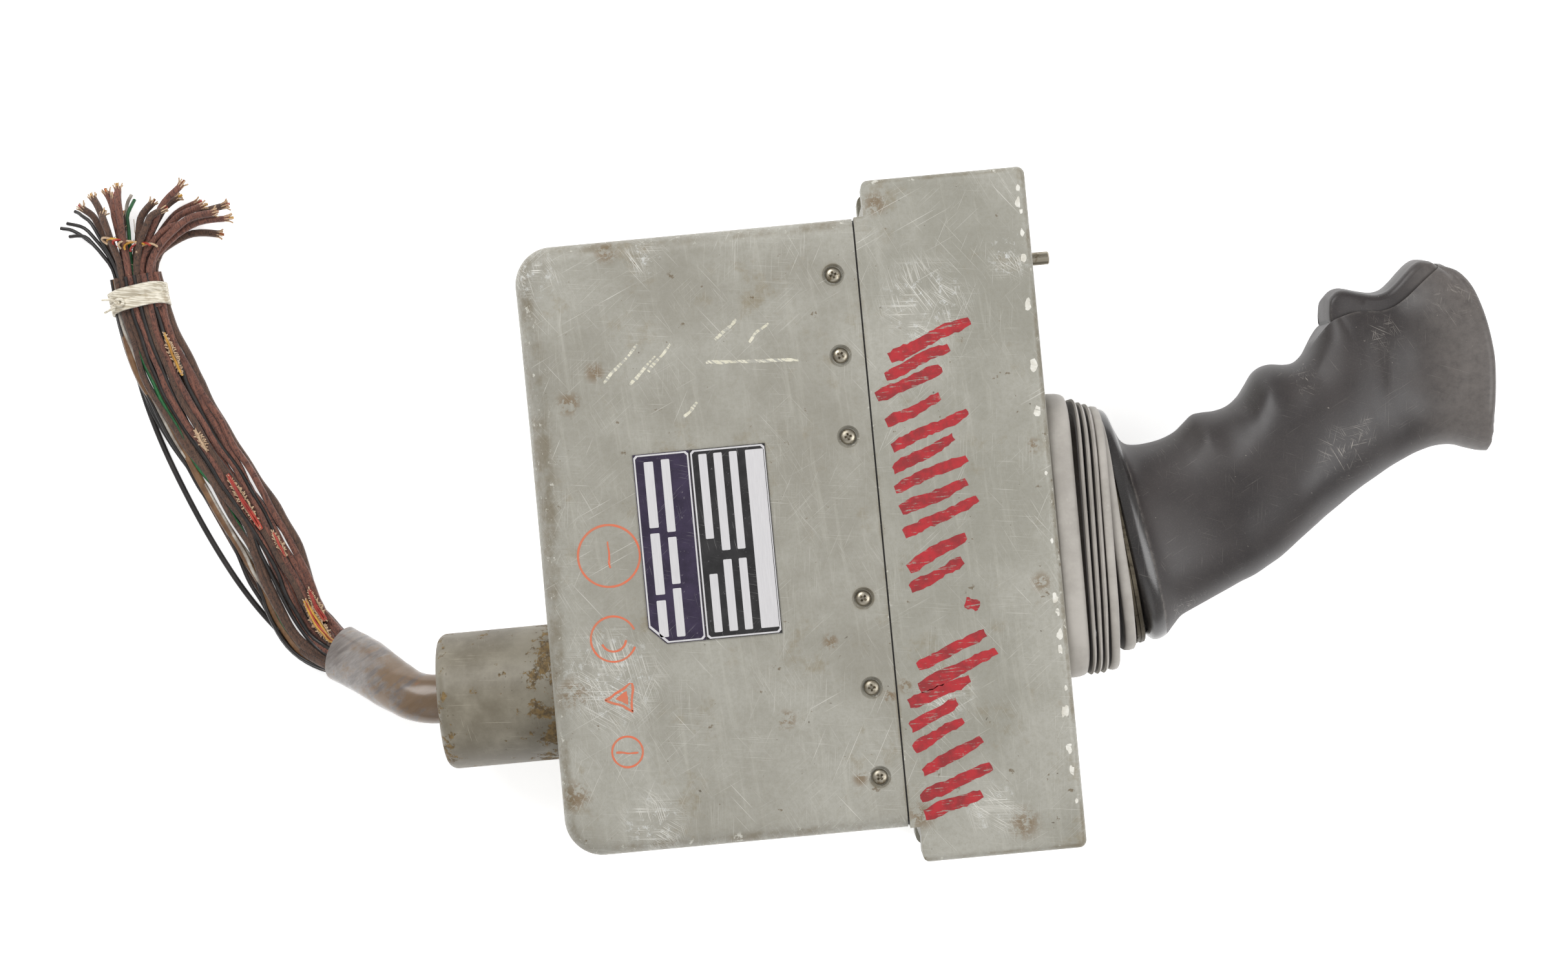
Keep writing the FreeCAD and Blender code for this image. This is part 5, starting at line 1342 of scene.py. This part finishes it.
def pan_head():
    """A pan-head screw with a cross recess, its seat at height 0."""
    profile = ((0.0, 1.5), (0.9, 1.48), (1.6, 1.38), (2.2, 1.12), (2.6, 0.72), (2.78, 0.3), (2.78, 0.0),
               (1.4, 0.0), (1.4, -1.6), (0.0, -1.6))
    around = 40
    points = []
    for radius, height in profile:
        for corner in range(around):
            angle = 2 * math.pi * corner / around
            points.append((max(radius, 0.02) * math.cos(angle), max(radius, 0.02) * math.sin(angle), height))
    head = piece("pan_head", points, tube_faces(len(profile), around), NICKEL)
    for turn in (0, 90):
        wide, deep = 0.42, 1.62
        half = [(-deep, -wide), (deep, -wide), (deep, wide), (-deep, wide)]
        low = [(-deep * 0.35, -wide * 0.7), (deep * 0.35, -wide * 0.7), (deep * 0.35, wide * 0.7),
               (-deep * 0.35, wide * 0.7)]
        corners = [(x, y, 0.2) for x, y in low] + [(x, y, 1.9) for x, y in half]
        spin = Matrix.Rotation(math.radians(turn), 3, "Z")
        cutter = piece("cross_cutter", [spin @ Vector(corner) for corner in corners], tube_faces(2, 4),
                       NICKEL)
        cut = head.modifiers.new("cross", "BOOLEAN")
        cut.object = cutter
        cut.operation = "DIFFERENCE"
        cut.solver = "EXACT"
        depsgraph = bpy.context.evaluated_depsgraph_get()
        mesh = bpy.data.meshes.new_from_object(head.evaluated_get(depsgraph))
        head.modifiers.clear()
        head.data = mesh
        bpy.data.objects.remove(cutter)
    points = [vertex.co / MM for vertex in head.data.vertices]
    faces = [list(face.vertices) for face in head.data.polygons]
    bpy.data.objects.remove(head)
    return points, faces


def screws():
    points, faces = pan_head()
    low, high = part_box("cover_screws")
    x = (low.x + high.x) / 2 / MM
    shape = Shape()
    places = (88.5, 60.0, 31.3, -25.9, -57.5, -89.1)
    for number, y in enumerate(places):
        for side in (1, -1):
            spin = Matrix.Rotation(math.radians(17 + 41 * number * side), 3, "Z")
            seat = TOP - 1.62 if side > 0 else 1.62
            moved = []
            for point in points:
                turned = spin @ point
                moved.append(Vector((x + turned.x, y + turned.y * side, seat + turned.z * side)))
            shape.add(moved, faces)
    heads = shape.made("cover_screw_heads", NICKEL, "nickel", "case", 30)
    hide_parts("cover_screws")


def ragged(outline, amount, seed, every=1.2):
    """An outline with more points and uneven edges."""
    dense = []
    count = len(outline)
    for index in range(count):
        a = Vector(outline[index])
        b = Vector(outline[(index + 1) % count])
        parts = max(int((b - a).length / every), 1)
        for part in range(parts):
            point = a.lerp(b, part / parts)
            normal = Vector((b.y - a.y, a.x - b.x)).normalized()
            dense.append(point + normal * amount * wander(point.x * 0.8, point.y * 0.8, seed=seed))
    return dense


def dab(x0, y0, x1, y1, width, seed, rough=0.5):
    """The outline of one brush stroke from a point to a point."""
    a, b = Vector((x0, y0)), Vector((x1, y1))
    heading = (b - a).normalized()
    side = Vector((-heading.y, heading.x))
    steps = 8
    left = []
    right = []
    for step in range(steps + 1):
        share = step / steps
        middle = a.lerp(b, share) + side * 0.9 * wander(share * 2.2, seed=seed)
        half = width / 2 * (1 - 0.2 * share + 0.22 * wander(share * 3.0, seed=seed + 5))
        if step in (0, steps):
            half *= 0.72
        left.append(middle + side * half)
        right.append(middle - side * half)
    return ragged(left + right[::-1], rough, seed)


def flat_marks(name, outlines, material, slot, thick):
    """Marks on the upper side, sunk a little into the paint."""
    shape = Shape()
    for outline in outlines:
        shape.add(*slab([tuple(point) for point in outline], TOP - SUNK, TOP + thick))
    return shape.made(name, material, slot, "case", 30)


def ring_mark(cx, cy, radius, width, seed, start=0.0, end=360.0):
    """A closed arc of ink, as a band."""
    steps = max(int((end - start) / 7), 6)
    outer = []
    inner = []
    for step in range(steps + 1):
        angle = math.radians(start + (end - start) * step / steps)
        swell = 0.25 * wander(math.cos(angle) * 2, math.sin(angle) * 2, seed=seed)
        direction = Vector((math.cos(angle), math.sin(angle)))
        outer.append(Vector((cx, cy)) + direction * (radius + width / 2 + swell * 0.3))
        inner.append(Vector((cx, cy)) + direction * (radius - width / 2 - swell * 0.3))
    return outer + inner[::-1]


def red_marks():
    """Groups of slanting brush strokes across the housing: plain hatching, no lettering."""
    outlines = [dab(56.5, -30.5, 61.0, -33.0, 4.2, 90, 0.5)]
    seed = 1
    for middle, bars, slope in ((55.0, 3, 0.34), (31.0, 3, 0.42), (8.0, 3, 0.3), (-16.0, 2, 0.46),
                                (-54.0, 3, 0.36), (-76.5, 3, 0.44), (-97.5, 2, 0.32)):
        for bar in range(bars):
            y = middle + (bar - (bars - 1) / 2) * 7.6 + 1.3 * wander(seed * 1.3, seed=2)
            x0 = 35.5 + 7.0 * wander(seed * 1.7, seed=4)
            long = 22.5 + 13.0 * wander(seed * 2.3, seed=6)
            rise = long * (slope + 0.12 * wander(seed * 0.9, seed=8)) / 2
            width = 4.5 + wander(seed * 1.1, seed=9)
            outlines.append(dab(x0, y - rise, x0 + long, y + rise, width, seed, 0.65))
            seed += 1
    flat_marks("red_brush_bars", outlines, RED_BRUSH, "case_paint", 0.06)


def chalk_marks():
    """Loose chalk strokes on the cover: slanting dashes over a long underline."""
    outlines = [dab(-26.5, 62.5, 6.0, 59.5, 1.3, 31, 0.35)]
    for number, (x0, y0, x1, y1) in enumerate((
        (-63.0, 58.0, -50.0, 70.5), (-54.0, 56.5, -44.0, 66.0), (-47.0, 60.5, -38.5, 69.5),
        (-22.5, 69.5, -14.5, 76.0), (-11.0, 68.0, -3.5, 74.0), (-31.0, 48.5, -36.0, 43.0),
    )):
        outlines.append(dab(x0, y0, x1, y1, 1.2, 40 + number, 0.35))
    flat_marks("chalk_strokes", outlines, CHALK, "case_paint", 0.05)


def orange_stamps():
    outlines = [
        ring_mark(-66.9, -2.7, 10.9, 0.75, 51),
        ring_mark(-68.0, -32.0, 8.0, 0.7, 52, 20, 335),
        ring_mark(-68.0, -32.0, 4.4, 0.7, 53, 200, 350),
        ring_mark(-66.8, -72.0, 5.4, 0.7, 54),
        dab(-66.9, -7.0, -66.9, 2.4, 0.8, 55, 0.15),
        dab(-70.8, -72.0, -63.0, -72.0, 0.8, 56, 0.15),
    ]
    corners = [(-73.0, -53.0), (-63.4, -48.0), (-63.4, -58.0)]
    for number in range(3):
        a, b = corners[number], corners[(number + 1) % 3]
        outlines.append(dab(*a, *b, 0.9, 60 + number, 0.2))
    outlines.append(ragged([(-69.4, -53.0), (-65.0, -50.6), (-65.0, -55.4)], 0.3, 66))
    flat_marks("orange_stamps", outlines, ORANGE, "case_paint", 0.05)


def chips():
    """Pale chips along the housing's front edge and at its corners."""
    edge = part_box("front_housing")[1].x / MM
    outlines = []
    for number, (y, size) in enumerate((
        (108.0, 2.4), (104.5, 1.3), (97.0, 1.6), (88.0, 2.2), (72.0, 2.8), (50.0, 3.0), (34.0, 2.6),
        (12.0, 1.1),
        (-12.0, 1.2), (-32.0, 2.2), (-37.0, 1.6), (-45.0, 2.4), (-50.0, 2.0), (-64.0, 1.3), (-72.0, 2.8),
        (-85.0, 2.4), (-93.0, 2.0), (-104.0, 1.4), (113.0, 1.6),
    )):
        x = edge - 1.9 - size * 0.55 + 0.5 * wander(number, seed=3)
        outline = []
        for corner in range(11):
            angle = 2 * math.pi * corner / 11
            uneven = wander(number * 3 + math.cos(angle) * 1.3, math.sin(angle) * 1.3, seed=6)
            reach = size * (0.7 + 0.45 * uneven)
            outline.append((x + reach * 0.62 * math.cos(angle), y + reach * 1.15 * math.sin(angle)))
        outlines.append(outline)
    flat_marks("edge_chips", outlines, CHIP, "housing_paint", 0.04)


def plates():
    """Silver borders and blank silver fields on the two dark plates."""
    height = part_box("id_plate_a")[1].z / MM
    fields = (
        (-45.6, 29.4, -42.6, 3.7), (-45.6, 1.9, -42.6, -14.7), (-45.6, -16.2, -42.6, -33.3),
        (-51.7, 29.0, -48.4, 5.6), (-51.7, 3.7, -48.4, -18.0), (-51.7, -20.0, -48.4, -33.0),
        (-15.8, 30.0, -9.2, -33.0), (-21.5, 30.0, -18.7, -4.5), (-21.5, -7.7, -18.7, -33.0),
        (-27.0, 30.0, -24.0, -4.5), (-27.0, -7.7, -24.0, -33.0), (-32.3, 30.0, -29.4, 0.0),
        (-32.3, -12.4, -29.4, -33.0),
    )
    shape = Shape()
    for x0, y0, x1, y1 in fields:
        shape.add(*slab(rectangle(x0, y1, x1, y0, 0.35, 3), height - SUNK, height + 0.05, 0.04))
    shape.made("plate_fields", SILVER, "plate_dark", "case", 40)
    shape = Shape()
    for name in ("id_plate_a", "id_plate_b"):
        low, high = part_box(name)
        x0, y0, x1, y1 = low.x / MM + 0.25, low.y / MM + 0.25, high.x / MM - 0.25, high.y / MM - 0.25
        cut = 6.0 if name == "id_plate_a" else 0.9
        outer = [(x0 + cut, y0), (x1 - 0.9, y0), (x1, y0 + 0.9), (x1, y1 - 0.9), (x1 - 0.9, y1),
                 (x0 + 0.9, y1), (x0, y1 - 0.9), (x0, y0 + cut)]
        middle = Vector(((x0 + x1) / 2, (y0 + y1) / 2))
        width = 0.55
        inner = []
        for x, y in outer:
            inner.append((x - math.copysign(width, x - middle.x), y - math.copysign(width, y - middle.y)))
        count = len(outer)
        layers = [(outer, height - SUNK), (outer, height + 0.05),
                  (inner, height + 0.05), (inner, height - SUNK)]
        points = [(x, y, z) for outline, z in layers for x, y in outline]
        shape.add(points, tube_faces(4, count, closed=True))
    shape.made("plate_borders", SILVER, "plate_dark", "case", 40)


def carried_over():
    """Materials for the CAD nodes that stay in view, by the record's slots."""
    by_slot = {
        "case_paint": CASE, "housing_paint": HOUSING, "grip_paint": GRIP, "ring_gloss": RING,
        "boot_rubber": BOOT, "gasket_rubber": GASKET, "nickel": NICKEL, "brass_band": BRASS,
        "plate_dark": PLATE_B,
        "inner_aluminium": ALLOY, "steel": STEEL, "canister": CAN, "switch_case": BLACK, "sleeve_tube": TUBE,
        "wire_braid": MAROON, "lacing": TAPE,
    }
    by_name = {"cable_boss": BOSS, "id_plate_a": PLATE_A}
    slots = {}
    for row in frame["record"]["subparts"]:
        slots[row.get("node") or row.get("name")] = row.get("material_slot") or row.get("material")
    for name, thing in NODES.items():
        chosen = by_name.get(name) or by_slot.get(slots.get(name), ALLOY)
        for number in range(max(len(thing.material_slots), 1)):
            if number < len(thing.material_slots):
                thing.material_slots[number].material = chosen
            else:
                thing.data.materials.append(chosen)


studio()
cords()
carried_over()
grip()
boot()
clamp_band()
screws()
plates()
red_marks()
chalk_marks()
orange_stamps()
chips()
